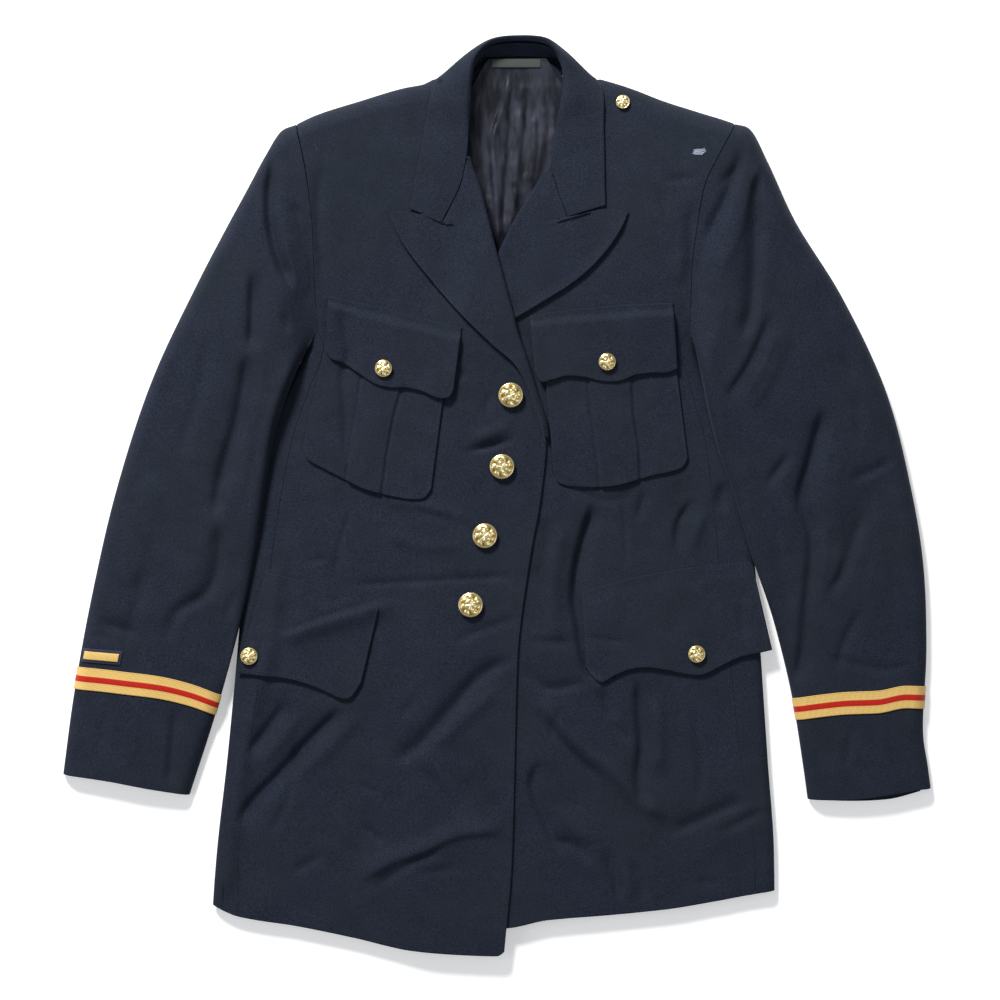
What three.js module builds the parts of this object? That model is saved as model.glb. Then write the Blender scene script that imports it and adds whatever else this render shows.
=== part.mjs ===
// Service dress jacket laid flat on its back, collar towards +Y, floor at z = 0.
// X runs across the jacket: the wearer's right side (R) has negative x, the left side (L) positive x.
// Every cloth piece is a wall built from a grid of points on its face, and what lies on a panel
// takes its height from that panel. Sizes are millimetres.
import * as THREE from 'three';

const cloth = 2.0;          // wool, interlining and facing together
const lining = 1.0;
const braidThick = 1.0;
const seamGap = 0.4;        // between pieces sewn edge to edge
const layGap = 0.5;         // between pieces that lie on each other
const layer = cloth + layGap;
const overlapStep = layer + 0.5; // the buttoned fronts lie a little looser
const sideRound = 9;        // how far the side rolls over before it is level
const shoulderRound = 20;   // the same at the shoulder line
const rollNose = 2.6;       // how far a rolled edge wraps past the panel inside it
const rollTurn = [{ out: 0.75, down: 0.7 }, { out: 1, down: 1.9 }]; // how a lapel turns down at its roll
const hemBase = -425;
const shoulderBase = 385;
const underarm = 150;
const shoulderTip = { R: { x: -183.5, y: 339.5 }, L: { x: 217.5, y: 340 } };
const centre = 18;          // x of the collar's middle, which lies a little off the back seam
// Height of a piece's face above the face of the panel that it lies on.
const lie = {
  lapel: layer + 0.3, collar: layer + 0.6, pocket: layer + 0.3, chestFlap: 2 * layer + 0.9, flapHinge: layer,
  lowerFlap: layer + 0.2, sleeve: layer + 0.6,
};
const edgeGap = 0.7;        // under a front's shoulder edge
const buttonGap = 0.6;

// Rows of named values.
function table(names, rows) {
  return rows.map((row) => Object.fromEntries(names.map((name, i) => [name, row[i]])));
}

const wool = { color: 0x252a38, roughness: 0.9, metalness: 0 };
const satin = { color: 0x3a3b46, roughness: 0.45, metalness: 0 };
const gold = { color: 0xd2aa55, roughness: 0.3, metalness: 0.9 };
const braidGold = { color: 0xe3be6b, roughness: 0.6, metalness: 0 };
const navyTape = { color: 0x1b1b33, roughness: 0.8, metalness: 0 };
const tape = { color: 0x4a4f49, roughness: 0.7, metalness: 0 };

// Outline of the body and its height. side = the outer fold, out = the front panel's outer seam and,
// above the underarm, its armhole; edge = the panel's front edge, then its roll line; back = the back
// panel's outer seam; mid and flank = height of the cloth's face at the middle and near the sides.
const bodyRows = table(['y', 'sideR', 'outR', 'edgeR', 'edgeL', 'outL',
  'sideL', 'backR', 'backL', 'mid', 'flank'], [
  [-425, -264, -237, 6, -47, 237, 255, -208, 200, 12, 10],
  [-330, -257, -236, 14, -46, 236, 254, -202, 197, 13.5, 11],
  [-240, -247, -226, 16.5, -43, 223, 248, -195, 192, 15, 11.5],
  [-150, -238.5, -215, 19, -41, 213, 242, -187, 188, 16, 12],
  [-60, -231, -206, 30, -36, 203, 236, -180, 184, 16.5, 12],
  [0, -223, -197, 40.5, -31, 197, 227, -175, 178, 18, 13],
  [50, -215, -187, 45, -26, 190, 211, -168, 170, 20, 14],
  [100, -191, -170, 32.5, -19, 176, 193, -152, 162, 22, 16],
  [135, -175, -158, 21, -15.5, 167, 183, -150, 160, 23, 18],
  [150, -174, -163, 16, -14, 175, 186, -155, 169, 23.5, 20],
  [165, -175, -164.5, 12.5, -11, 176.5, 187, -163, 176, 24, 22],
  [200, -177, -166, 3, -3.5, 177, 188, -178, 190, 24, 26],
  [240, -178, -167, -7.5, 12.5, 181, 192, -180, 195, 24, 30],
  [280, -182, -171, -17.5, 36.5, 188, 199, -182, 201, 23, 33],
  [310, -187, -176, -27, 52.5, 202, 213, -182.5, 210, 22, 34],
  [340, -194, -183, -28.5, 57.5, 217, 228, -183, 217, 21, 34],
  [390, -200, -190, -30, 63, 230, 240, -190, 230, 20, 34],
]);

const hemRows = [
  { x: -264, y: -374 }, { x: -236, y: -386 }, { x: -181, y: -395 }, { x: -132, y: -405 }, { x: -77, y: -417 },
  { x: -22, y: -421 }, { x: 0, y: -421.5 }, { x: 7, y: -417 }, { x: 20, y: -395 }, { x: 46, y: -389 },
  { x: 107, y: -384 }, { x: 156, y: -379 }, { x: 199, y: -372 }, { x: 237, y: -365 }, { x: 256, y: -362 },
];
const hemLeftRows = [
  { x: -47, y: -400 }, { x: 12, y: -396 }, { x: 46, y: -389 }, { x: 107, y: -384 }, { x: 156, y: -379 },
  { x: 199, y: -372 }, { x: 237, y: -365 }, { x: 256, y: -362 },
];
const frontTopRows = [
  { x: -190, y: 336 }, { x: -183.5, y: 339.5 }, { x: -166, y: 348 }, { x: -126, y: 361 }, { x: -86, y: 373 },
  { x: -66, y: 377 }, { x: -58, y: 368 }, { x: -47, y: 362 }, { x: -24, y: 360 }, { x: 55, y: 360 },
  { x: 76, y: 362 }, { x: 90, y: 366 }, { x: 99, y: 378 }, { x: 122, y: 373 }, { x: 153, y: 361 },
  { x: 184, y: 351 }, { x: 217.5, y: 340 }, { x: 225, y: 336 },
];
const backTopRows = [
  { x: -190, y: 336 }, { x: -183.5, y: 339.5 }, { x: -166, y: 348 }, { x: -126, y: 361 }, { x: -86, y: 373 },
  { x: -68, y: 377 }, { x: -56, y: 368 }, { x: -40, y: 364 }, { x: -28, y: 370 }, { x: -21, y: 388 },
  { x: -6, y: 398.5 }, { x: 18, y: 400 }, { x: 41, y: 399 }, { x: 56, y: 390 }, { x: 63, y: 372 },
  { x: 72, y: 364 }, { x: 88, y: 366 }, { x: 99, y: 378 }, { x: 122, y: 373 }, { x: 153, y: 361 },
  { x: 184, y: 351 }, { x: 217.5, y: 340 }, { x: 225, y: 336 },
];

// Largest soft folds of the fronts: a line, its height (a trough is negative) and its half width.
const bodyFolds = [
  { x0: -138, y0: 180, x1: -136, y1: 40, rise: -1.2, wide: 20 },
  { x0: -208, y0: -130, x1: -96, y1: -98, rise: 1.5, wide: 15 },
  { x0: -190, y0: -180, x1: -232, y1: -240, rise: -1.8, wide: 15 },
  { x0: -140, y0: -195, x1: -238, y1: -300, rise: -1.6, wide: 16 },
  { x0: 10, y0: -155, x1: -95, y1: -240, rise: -1.5, wide: 16 },
  { x0: -20, y0: -250, x1: -34, y1: -298, rise: -1.2, wide: 14 },
  { x0: -122, y0: -350, x1: 2, y1: -305, rise: 1.4, wide: 15 },
  { x0: 82, y0: -12, x1: 74, y1: -120, rise: -1.8, wide: 15 },
  { x0: 130, y0: -175, x1: 134, y1: -270, rise: -1.6, wide: 15 },
  { x0: 40, y0: -185, x1: 156, y1: -295, rise: 1.5, wide: 16 },
  { x0: 40, y0: -240, x1: 68, y1: -335, rise: -1.6, wide: 15 },
  { x0: 156, y0: -310, x1: 228, y1: -278, rise: -1.5, wide: 16 },
  { x0: 172, y0: 20, x1: 160, y1: -30, rise: -1.6, wide: 14 },
  { x0: 150, y0: 310, x1: 156, y1: 250, rise: -1.4, wide: 16 },
];

const sleeveShape = {
  R: {
    inner: [[-164, 150], [-175, 128], [-184, 109], [-201, 62], [-210, 15], [-220, -48],
      [-236, -124], [-252, -182], [-282, -275]],
    outer: [[-183.9, 339.5], [-197, 334], [-212, 311], [-227, 283], [-252, 237], [-276, 191],
      [-316, 106], [-349, 5],
      [-372, -94], [-388, -182], [-398, -256]],
    cuff: [[-282, -275], [-319, -269], [-356, -262], [-398, -256]],
    cuffUnder: [[-282, -275], [-319, -269], [-356, -262], [-398, -256]],
    braid: [
      { x: -400, y: -166 }, { x: -364, y: -169 }, { x: -338, y: -172 },
      { x: -310, y: -175.5 }, { x: -282, y: -182 }, { x: -250, y: -194 },
    ],
    folds: [
      { x0: -222, y0: 195, x1: -226, y1: 125, rise: -2.2, wide: 14 },
      { x0: -226, y0: 125, x1: -254, y1: -5, rise: -2.0, wide: 15 },
      { x0: -254, y0: -5, x1: -300, y1: -132, rise: 1.8, wide: 15 },
      { x0: -208, y0: 318, x1: -206, y1: 235, rise: 2.0, wide: 15 },
      { x0: -370, y0: -115, x1: -325, y1: -128, rise: -1.2, wide: 13 },
    ],
  },
  L: {
    inner: [[176, 150], [184, 118], [193, 75], [202, 41], [216, 2], [233, -57],
      [254, -118], [270, -182], [281, -250], [285, -279]],
    outer: [[217.9, 340], [231, 336], [248, 305], [272, 253], [316, 182], [357, 94],
      [380, 5], [391, -63], [394, -140],
      [391, -219], [395, -247], [398, -269]],
    cuff: [[285, -279], [322, -279], [362, -274], [385, -270], [398, -269]],
    cuffUnder: [[285, -281], [322, -283], [362, -281], [385, -275], [398, -271]],
    braid: [
      { x: 266, y: -197 }, { x: 292, y: -193 }, { x: 320, y: -190 },
      { x: 347, y: -189 }, { x: 374, y: -184.5 }, { x: 400, y: -186 },
    ],
    folds: [
      { x0: 236, y0: 316, x1: 200, y1: 196, rise: 2.0, wide: 14 },
      { x0: 236, y0: 300, x1: 228, y1: 170, rise: -2.0, wide: 14 },
      { x0: 248, y0: 160, x1: 212, y1: 86, rise: 1.8, wide: 14 },
      { x0: 296, y0: 76, x1: 272, y1: -70, rise: -2.0, wide: 15 },
      { x0: 286, y0: -70, x1: 278, y1: -150, rise: 1.6, wide: 14 },
      { x0: 370, y0: 36, x1: 300, y1: -60, rise: -1.6, wide: 15 },
    ],
  },
};
// Height of the sleeve's face along its length, from the armhole (0) to the cuff (1).
const sleeveRows = [
  { t: 0, crown: 37 }, { t: 0.12, crown: 37 }, { t: 0.3, crown: 30 },
  { t: 0.5, crown: 24 }, { t: 0.75, crown: 18 }, { t: 1, crown: 14 },
];
const sleeveLeast = 6;      // the face is at least this far above the underside
const besideBody = 1.5;     // between the under sleeve and the side of the body
const sleeveHead = 3;       // extra height of the padded sleeve head
const edgeRoll = { armhole: 16, cuff: 11 }; // width over which a sleeve's edges round off

// Lapels: height of each row on the roll line, and the lapel's outer edge there.
const lapelRows = {
  R: [
    { roll: 52, x: 42.5, y: 54 }, { roll: 76, x: 36, y: 76 },
    { roll: 96, x: 28, y: 97 }, { roll: 115, x: 15.5, y: 119 },
    { roll: 131, x: -5, y: 137 }, { roll: 150, x: -33, y: 164 },
    { roll: 174, x: -60, y: 195 }, { roll: 200, x: -86, y: 229 },
    { roll: 216, x: -99, y: 257 }, { roll: 225, x: -80, y: 257.5 }, { roll: 236, x: -50, y: 246.5 },
    { roll: 262, x: -41.5, y: 263 }, { roll: 286, x: -33.5, y: 280 }, { roll: 308, x: -27, y: 306 },
  ],
  L: [
    { roll: 172, x: -4, y: 152 }, { roll: 184, x: 17, y: 161 },
    { roll: 198, x: 46, y: 178 }, { roll: 206, x: 68, y: 192 },
    { roll: 213, x: 86, y: 207 }, { roll: 219, x: 102, y: 225 },
    { roll: 224, x: 113, y: 242 }, { roll: 228, x: 119.5, y: 257 },
    { roll: 233, x: 99, y: 260 }, { roll: 240, x: 64, y: 251 },
    { roll: 262, x: 59.5, y: 264 }, { roll: 280, x: 55, y: 276 },
    { roll: 296, x: 50, y: 294 },
  ],
};

// Collar from the wearer's right notch round the neck to the left one: the fall's edge e, its middle m,
// the fold f and the turn k inside the fold. Rows that lie on the fronts have no heights of their own.
const lyingNames = ['ex', 'ey', 'fx', 'fy'];
const collarRows = [
  ...table(lyingNames, [
    [-79.5, 260, -51, 249.5], [-75, 285, -36, 281], [-70, 310, -28.5, 312], [-65, 338, -27.5, 338],
  ]),
  ...table(['ex', 'ey', 'ez', 'mx', 'my', 'mz', 'fx', 'fy', 'fz', 'kx', 'ky', 'kz'], [
    [-61, 360, 25.8, -45, 360, 27.8, -27, 359, 28.5, -23, 359, 25],
    [-59, 374, 18, -45, 376, 25.5, -26, 375, 28.5, -22.5, 375, 24.8],
    [-55, 383, 9, -42, 393, 17, -23, 394, 28, -19.5, 391.5, 24.5],
    [-44, 384, 1, -29, 405, 11, -14, 408, 27, -11.5, 404.5, 23.5],
    [-25, 385, 0, -10, 417, 9, -3, 417, 26, -1.5, 412.5, 23],
    [18, 386, 0, 18, 422, 9, 18, 420.5, 25, 18, 415.5, 22.5],
    [62, 385, 0, 50, 418, 9, 44, 417.5, 26, 42, 413, 23],
    [81, 383, 1, 68, 407, 11, 54, 408, 27, 51.5, 404.5, 23.5],
    [91, 382, 9, 80, 393, 17, 61.5, 394, 28, 58, 391.5, 24.5],
    [96, 373, 19, 83, 374, 25.5, 63, 375, 28.5, 59.5, 375, 24.8],
    [97.5, 358, 25.8, 80, 359, 27.8, 61.5, 359, 28.5, 57.5, 359, 25],
  ]),
  ...table(lyingNames, [
    [97.3, 336, 56, 336], [97.8, 310, 52, 307], [98.2, 285, 58, 279], [98.7, 263, 66, 254.5],
  ]),
];

// Stand of the collar inside the neck, where it shows: top t under the fold, bottom b at the neck seam.
const standRows = table(['tx', 'ty', 'tz', 'bx', 'by', 'bz'], [
  [-22.5, 375, 24, -25, 374, 10], [-19.7, 391, 23.8, -21.5, 390.5, 9.5], [-11.8, 404, 22.9, -14, 400, 9],
  [-1.8, 412, 22.4, -4, 401.2, 9], [18, 415, 21.9, 18, 402, 9], [42, 412.4, 22.4, 43, 401.2, 9],
  [51.8, 404, 22.9, 53.5, 400, 9], [58.3, 391, 23.8, 60, 390.5, 9.5], [59.6, 375, 24, 62, 374, 10],
]);

// Pieces on the fronts, from their left end to their right end: top edge t and bottom edge b.
const edgeNames = ['tx', 'ty', 'bx', 'by'];
const chestFlapRows = {
  R: table(edgeNames, [
    [-153, 181, -156, 132], [-148, 180, -151, 124], [-139, 178, -141, 120.5], [-126, 175, -128, 112],
    [-110, 172, -111, 101], [-95, 168, -97, 97.5], [-80, 164, -83, 97.5], [-64, 160, -68, 94],
    [-48, 156, -54, 88], [-38, 153.5, -44, 88.5], [-32, 152, -39.5, 95],
  ]),
  L: table(edgeNames, [
    [29.5, 163, 34.5, 114], [36, 164, 39.5, 103], [47, 166, 50, 104.5], [60, 167.5, 63, 108],
    [76, 169.5, 80, 107], [92, 171, 97, 103], [108, 172.5, 112, 103.5], [124, 173.5, 126, 109],
    [140, 174, 142, 111], [153, 174.5, 156, 111.5], [160, 175, 164.5, 115],
  ]),
};
const chestPocketRows = {
  R: table(edgeNames, [
    [-150, 166, -177, 45], [-146, 165, -173, 33], [-137, 163, -158, 24], [-124, 160, -140, 14.5],
    [-110, 156, -124, 6.5], [-96, 153, -108, 1.5], [-80, 149, -92, -2], [-64, 145, -78, -4],
    [-50, 142, -66, -2.5], [-42, 140, -60, 5],
  ]),
  L: table(edgeNames, [
    [40, 148, 52, 21], [44, 149, 55, 12.5], [54, 151, 66, 8], [68, 153, 81, 7], [84, 155, 96, 7],
    [100, 156.5, 112, 9], [116, 158, 128, 13.5], [132, 159, 144, 18], [148, 160, 160, 21.5],
    [155, 160.5, 170, 26], [158, 161, 174, 34],
  ]),
};
const lowerFlapRows = {
  R: table(edgeNames, [
    [-212, -70, -237, -163], [-204, -72, -226, -164], [-190, -75, -212, -165.5],
    [-176, -79.5, -197, -167], [-162, -85, -182, -170], [-148, -90, -167, -175],
    [-134, -94.5, -153, -181], [-122, -98, -143, -185.5], [-113, -101.5, -134, -185],
    [-108, -104.5, -124, -171],
  ]),
  L: table(edgeNames, [
    [77, -88, 81, -157], [82, -87, 86, -164.5], [93, -83.5, 95, -171], [108, -79.5, 108, -164.5],
    [124, -75.5, 122, -159], [141, -72, 138, -157.5], [158, -69, 155, -160], [175, -66.5, 172, -163.5],
    [191, -64.5, 188, -164], [207, -63, 205, -156], [221, -61.5, 222, -148], [231, -62, 241, -144],
    [234, -66, 251.5, -141.5],
  ]),
};
const pleatWidth = 34;      // box pleat down the middle of a chest pocket
const pleatRise = 1.2;

const frontButton = 22.9;   // 36-ligne
const pocketButton = 15.9;  // 25-ligne
const shoulderButton = 12.7; // 20-ligne

const braidWidth = 20.5;
const serviceBar = { left: -380, right: -346, y: -147.5, drop: -2.5, width: 7.5, border: 2.6, thick: 1 };
const labelSize = { left: -5, right: 40, low: 391, high: 398.5, thick: 1.2 };

const clamp01 = (v) => Math.min(1, Math.max(0, v));
const mix = (a, b, t) => a + (b - a) * t;
const ease = (v) => clamp01(v) * clamp01(v) * (3 - 2 * clamp01(v));
const round = (v) => Math.sqrt(1 - (1 - clamp01(v)) ** 2);
const point = (x, y, z) => new THREE.Vector3(x, y, z);
const steps = (n) => Array.from({ length: n + 1 }, (_, i) => i / n);

// A smooth curve that never overshoots, through two columns of a table.
function curve(rows, from, to) {
  const x = rows.map((row) => row[from]);
  const y = rows.map((row) => row[to]);
  const rate = x.slice(1).map((_, i) => (y[i + 1] - y[i]) / (x[i + 1] - x[i]));
  const slope = x.map((_, i) => {
    if (i === 0) return rate[0];
    if (i === x.length - 1) return rate[i - 1];
    return rate[i - 1] * rate[i] <= 0 ? 0 : 2 * rate[i - 1] * rate[i] / (rate[i - 1] + rate[i]);
  });
  return (at) => {
    const v = Math.min(x[x.length - 1], Math.max(x[0], at));
    let i = 0;
    while (i < x.length - 2 && v > x[i + 1]) i += 1;
    const h = x[i + 1] - x[i];
    const t = (v - x[i]) / h;
    return y[i] * (1 + 2 * t) * (1 - t) ** 2 + slope[i] * h * t * (1 - t) ** 2
      + y[i + 1] * t * t * (3 - 2 * t) + slope[i + 1] * h * t * t * (t - 1);
  };
}

const body = Object.fromEntries(Object.keys(bodyRows[0]).map((name) => [name, curve(bodyRows, 'y', name)]));
const hemRight = curve(hemRows, 'x', 'y');
const hemLeft = curve(hemLeftRows, 'x', 'y');
const frontTop = curve(frontTopRows, 'x', 'y');
const backTop = curve(backTopRows, 'x', 'y');

// Height that soft folds add at a place.
function foldRise(folds, x, y) {
  return folds.reduce((sum, fold) => {
    const dx = fold.x1 - fold.x0;
    const dy = fold.y1 - fold.y0;
    const along = clamp01(((x - fold.x0) * dx + (y - fold.y0) * dy) / (dx * dx + dy * dy));
    const away = Math.hypot(x - fold.x0 - along * dx, y - fold.y0 - along * dy) / fold.wide;
    return sum + fold.rise * Math.exp(-away * away);
  }, 0);
}

// Face of the fronts as one surface, level with the left front.
function bodyFace(x, y) {
  const low = body.sideR(y) + sideRound;
  const high = body.sideL(y) - sideRound;
  const at = Math.min(high, Math.max(low, x));
  const across = (at - (low + high) / 2) / ((high - low) / 2);
  return mix(body.flank(y), body.mid(y), 1 - across * across) + foldRise(bodyFolds, at, y);
}
// The right front lies over the left front, and near the crossing over the left lapel too.
function overlapRise(x, y) {
  const near = ease((x - body.edgeL(y) + 55) / 42);
  const front = 1 - ease((y - 215) / 80);
  const lapel = ease((y - 80) / 70) - ease((y - 200) / 85);
  return overlapStep * near * (front + lapel);
}
const face = {
  R: (x, y) => bodyFace(x, y) + overlapRise(x, y),
  L: bodyFace,
};
// Near the neck the collar covers the fronts' top edge, which stays up there.
function shoulderFall(z, x, y) {
  const underCollar = 30 * ease((x + 57) / 9) * ease((88 - x) / 9);
  return mix(backFace(x, y) + edgeGap, z, round((frontTop(x) - y + underCollar) / shoulderRound));
}

// A closed wall behind a grid of face points: columns run to the right of rows, seen from the face.
// Its rear stays above what it lies on, where that is given.
function wall(grid, thick, under = () => 0) {
  const rows = grid.length;
  const cols = grid[0].length;
  const front = [];
  const rear = [];
  for (let j = 0; j < rows; j += 1) {
    for (let i = 0; i < cols; i += 1) {
      const across = grid[j][Math.min(i + 1, cols - 1)].clone().sub(grid[j][Math.max(i - 1, 0)]);
      const along = grid[Math.min(j + 1, rows - 1)][i].clone().sub(grid[Math.max(j - 1, 0)][i]);
      const normal = across.cross(along).normalize();
      front.push(grid[j][i]);
      const behind = grid[j][i].clone().addScaledVector(normal, -thick);
      behind.z = Math.max(behind.z, under(behind.x, behind.y));
      rear.push(behind);
    }
  }
  const count = rows * cols;
  const faces = [];
  const quad = (a, b, c, d) => faces.push(a, b, c, a, c, d);
  for (let j = 0; j < rows - 1; j += 1) {
    for (let i = 0; i < cols - 1; i += 1) {
      const a = j * cols + i;
      quad(a, a + 1, a + cols + 1, a + cols);
      quad(count + a, count + a + cols, count + a + cols + 1, count + a + 1);
    }
  }
  const rim = [];
  for (let i = 0; i < cols - 1; i += 1) rim.push(i);
  for (let j = 0; j < rows - 1; j += 1) rim.push(j * cols + cols - 1);
  for (let i = cols - 1; i > 0; i -= 1) rim.push((rows - 1) * cols + i);
  for (let j = rows - 1; j > 0; j -= 1) rim.push(j * cols);
  rim.forEach((a, i) => {
    const b = rim[(i + 1) % rim.length];
    quad(a, count + a, count + b, b);
  });
  const geometry = new THREE.BufferGeometry();
  const all = [...front, ...rear];
  geometry.setAttribute('position', new THREE.Float32BufferAttribute(all.flatMap((p) => [p.x, p.y, p.z]), 3));
  geometry.setIndex(faces);
  geometry.computeVertexNormals();
  return geometry;
}

const jacket = new THREE.Group();
function add(name, geometry, look) {
  const mesh = new THREE.Mesh(geometry, new THREE.MeshStandardMaterial(look));
  mesh.name = name;
  jacket.add(mesh);
  return mesh;
}

// Place on a panel from its own rows: hem and shoulder slant, so a row's height is shifted to meet them.
function panelPlace(nominal, u, leftEdge, rightEdge, hem, top) {
  let y = nominal;
  let x = 0;
  for (let pass = 0; pass < 4; pass += 1) {
    x = mix(leftEdge(y), rightEdge(y), u);
    y = nominal + (hem(x) - hemBase) * (1 - clamp01((nominal - hemBase) / 240))
      + (top(x) - shoulderBase) * clamp01((nominal - underarm) / (shoulderBase - underarm));
  }
  return { x, y };
}
const bodyLevels = [
  hemBase, -392, -358, -322, -286, -250, -214, -178, -142, -106, -70, -34, 0, 32, 66, 100, 135, underarm,
  165, 200, 240, 280, 310, 332, 350, 363, 373, 380, 383.5, shoulderBase,
];
const frontColumns = steps(11);

function frontPanel(side) {
  const leftEdge = side === 'R' ? body.outR : body.edgeL;
  const rightEdge = side === 'R' ? body.edgeR : body.outL;
  const hem = side === 'R' ? hemRight : hemLeft;
  const grid = bodyLevels.map((level) => frontColumns.map((u) => {
    const { x, y } = panelPlace(level, u, leftEdge, rightEdge, hem, frontTop);
    return point(x, y, shoulderFall(face[side](x, y), x, y));
  }));
  return wall(grid, cloth);
}

// The back lies on the floor. Under the collar it is lifted over the fall, and at the shoulders it curls up.
const backHem = (hem) => (x) => hem(x) + 9;
function backFace(x, y) {
  const overFall = 2.8 * ease((y - 352) / 24) + 2.6 * ease((y - 376) / 20);
  return cloth + overFall * (1 - ease((Math.abs(x - centre) - 66) / 22));
}
function backPanel(side) {
  const leftEdge = side === 'R' ? body.backR : () => seamGap / 2;
  const rightEdge = side === 'R' ? () => -seamGap / 2 : body.backL;
  const hem = backHem(side === 'R' ? hemRight : hemLeft);
  const levels = bodyLevels.filter((level, i) => level > 60 || i % 2 === 0);
  const grid = levels.map((level) => steps(5).map((u) => {
    const { x, y } = panelPlace(level, u, leftEdge, rightEdge, hem, backTop);
    return point(x, y, backFace(x, y));
  }));
  return wall(grid, cloth);
}

// The side panel turns from the front seam round the side fold to the back seam on the floor.
function sidePanel(side) {
  const toSide = side === 'R' ? -1 : 1;
  const hem = side === 'R' ? hemRight : hemLeft;
  const turn = [90, 55, 20, -20, -55, -90];
  const grid = bodyLevels.filter((level) => level < underarm).map((level) => {
    const at = panelPlace(level, 0.5, body['side' + side], body['side' + side], hem, frontTop).y;
    const fold = body['side' + side](at) - toSide * sideRound;
    const seam = body['out' + side](at) + toSide * seamGap;
    const back = body['back' + side](at) + toSide * seamGap;
    const high = body.flank(at);
    const row = [0, 0.5].map((u) => point(mix(seam, fold, u), at, face[side](mix(seam, fold, u), at)));
    turn.forEach((angle) => {
      const a = THREE.MathUtils.degToRad(angle);
      row.push(point(fold + toSide * sideRound * Math.cos(a), at, high / 2 * (1 + Math.sin(a))));
    });
    row.push(point(mix(fold, back, 0.5), at, 0), point(back, at, 0));
    return side === 'R' ? row.reverse() : row;
  });
  return wall(grid, cloth);
}

// A sleeve's outline is filled between armhole, cuff, inner edge and outer edge.
function outline(points) {
  return new THREE.CatmullRomCurve3(points.map(([x, y]) => point(x, y, 0)), false, 'centripetal');
}
function sleevePlan(side, under) {
  const shape = sleeveShape[side];
  const toSide = side === 'R' ? -1 : 1;
  const edge = body[(under ? 'back' : 'out') + side];
  const tip = shoulderTip[side];
  const inner = outline(shape.inner);
  const outer = outline(shape.outer);
  const cuff = outline(under ? shape.cuffUnder : shape.cuff);
  const armhole = (u) => {
    const y = mix(underarm, tip.y, u);
    const x = edge(y) + toSide * seamGap * (under ? 3 : 1);
    return point(mix(inner.getPoint(0).x, x, ease(u / 0.12)), y, 0);
  };
  const corner = [armhole(0), armhole(1), cuff.getPoint(0), cuff.getPoint(1)];
  return (u, t) => {
    const p = armhole(u).multiplyScalar(1 - t).addScaledVector(cuff.getPointAt(u), t);
    p.addScaledVector(inner.getPointAt(t), 1 - u).addScaledVector(outer.getPointAt(t), u);
    p.addScaledVector(corner[0], -(1 - t) * (1 - u)).addScaledVector(corner[1], -(1 - t) * u);
    p.addScaledVector(corner[2], -t * (1 - u)).addScaledVector(corner[3], -t * u);
    return p;
  };
}
// How high the sleeve's underside lies: over the body's side, then down to the floor.
function sleeveFloor(side, x, y) {
  const toSide = side === 'R' ? -1 : 1;
  const beyond = toSide * (x - body['side' + side](y));
  return (body.flank(y) + layGap) * (1 - ease((beyond - 1) / 22)) * (1 - ease((y - 136) / 30));
}
const crown = curve(sleeveRows, 't', 'crown');
function sleeveFace(side) {
  const plan = sleevePlan(side, false);
  return (u, t) => {
    const p = plan(u, t);
    const wide = plan(0, t).distanceTo(plan(1, t));
    const low = sleeveFloor(side, p.x, p.y) + lie.sleeve;
    const roll = mix(edgeRoll.armhole, edgeRoll.cuff, t);
    const hump = Math.sin(Math.PI * u);
    const rise = round(u * wide / roll) * round((1 - u) * wide / roll) * (0.82 + 0.18 * hump);
    const head = sleeveHead * hump * Math.exp(-(((t - 0.07) / 0.04) ** 2));
    const soft = (head + foldRise(sleeveShape[side].folds, p.x, p.y)) * rise;
    const tube = mix(low, Math.max(crown(t), low + sleeveLeast), rise) + soft;
    const start = plan(u, 0);
    const seam = shoulderFall(face[side](start.x, start.y), start.x, start.y);
    p.z = Math.max(low, mix(seam, tube, ease(t / 0.13)));
    return p;
  };
}
const sleeveColumns = [0, 0.02, 0.06, 0.14, 0.27, 0.42, 0.58, 0.73, 0.86, 0.94, 0.98, 1];
const sleeveLevels = steps(20).reverse().map((t) => t ** 1.15);
const sleeveTop = { R: sleeveFace('R'), L: sleeveFace('L') };
// Seen from the face, the right sleeve's columns run from the outer edge to the inner one.
const facing = (side, columns) => (side === 'R' ? [...columns].reverse() : columns);

function topSleeve(side) {
  const grid = sleeveLevels.map((t) => facing(side, sleeveColumns).map((u) => sleeveTop[side](u, t)));
  return wall(grid, cloth, (x, y) => sleeveFloor(side, x, y) + cloth + 2 * seamGap);
}
// The under sleeve lies flat on the floor. Where the sleeve passes over the body, it stops beside the body.
function underSleeve(side) {
  const toSide = side === 'R' ? -1 : 1;
  const plan = sleevePlan(side, true);
  const columns = [0, 0.03, 0.08, 0.15, 0.25, 0.37, 0.5, 0.75, 1];
  const grid = sleeveLevels.map((t) => {
    const inner = plan(0, t);
    const beyond = toSide * (inner.x - body['side' + side](inner.y));
    const shift = Math.max(0, besideBody - beyond) * (1 - ease((inner.y - 137) / 13));
    return facing(side, columns).map((u) => {
      const p = plan(u, t);
      return point(p.x + toSide * shift * (1 - ease(u / 0.45)), p.y, cloth);
    });
  });
  return wall(grid, cloth);
}

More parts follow.
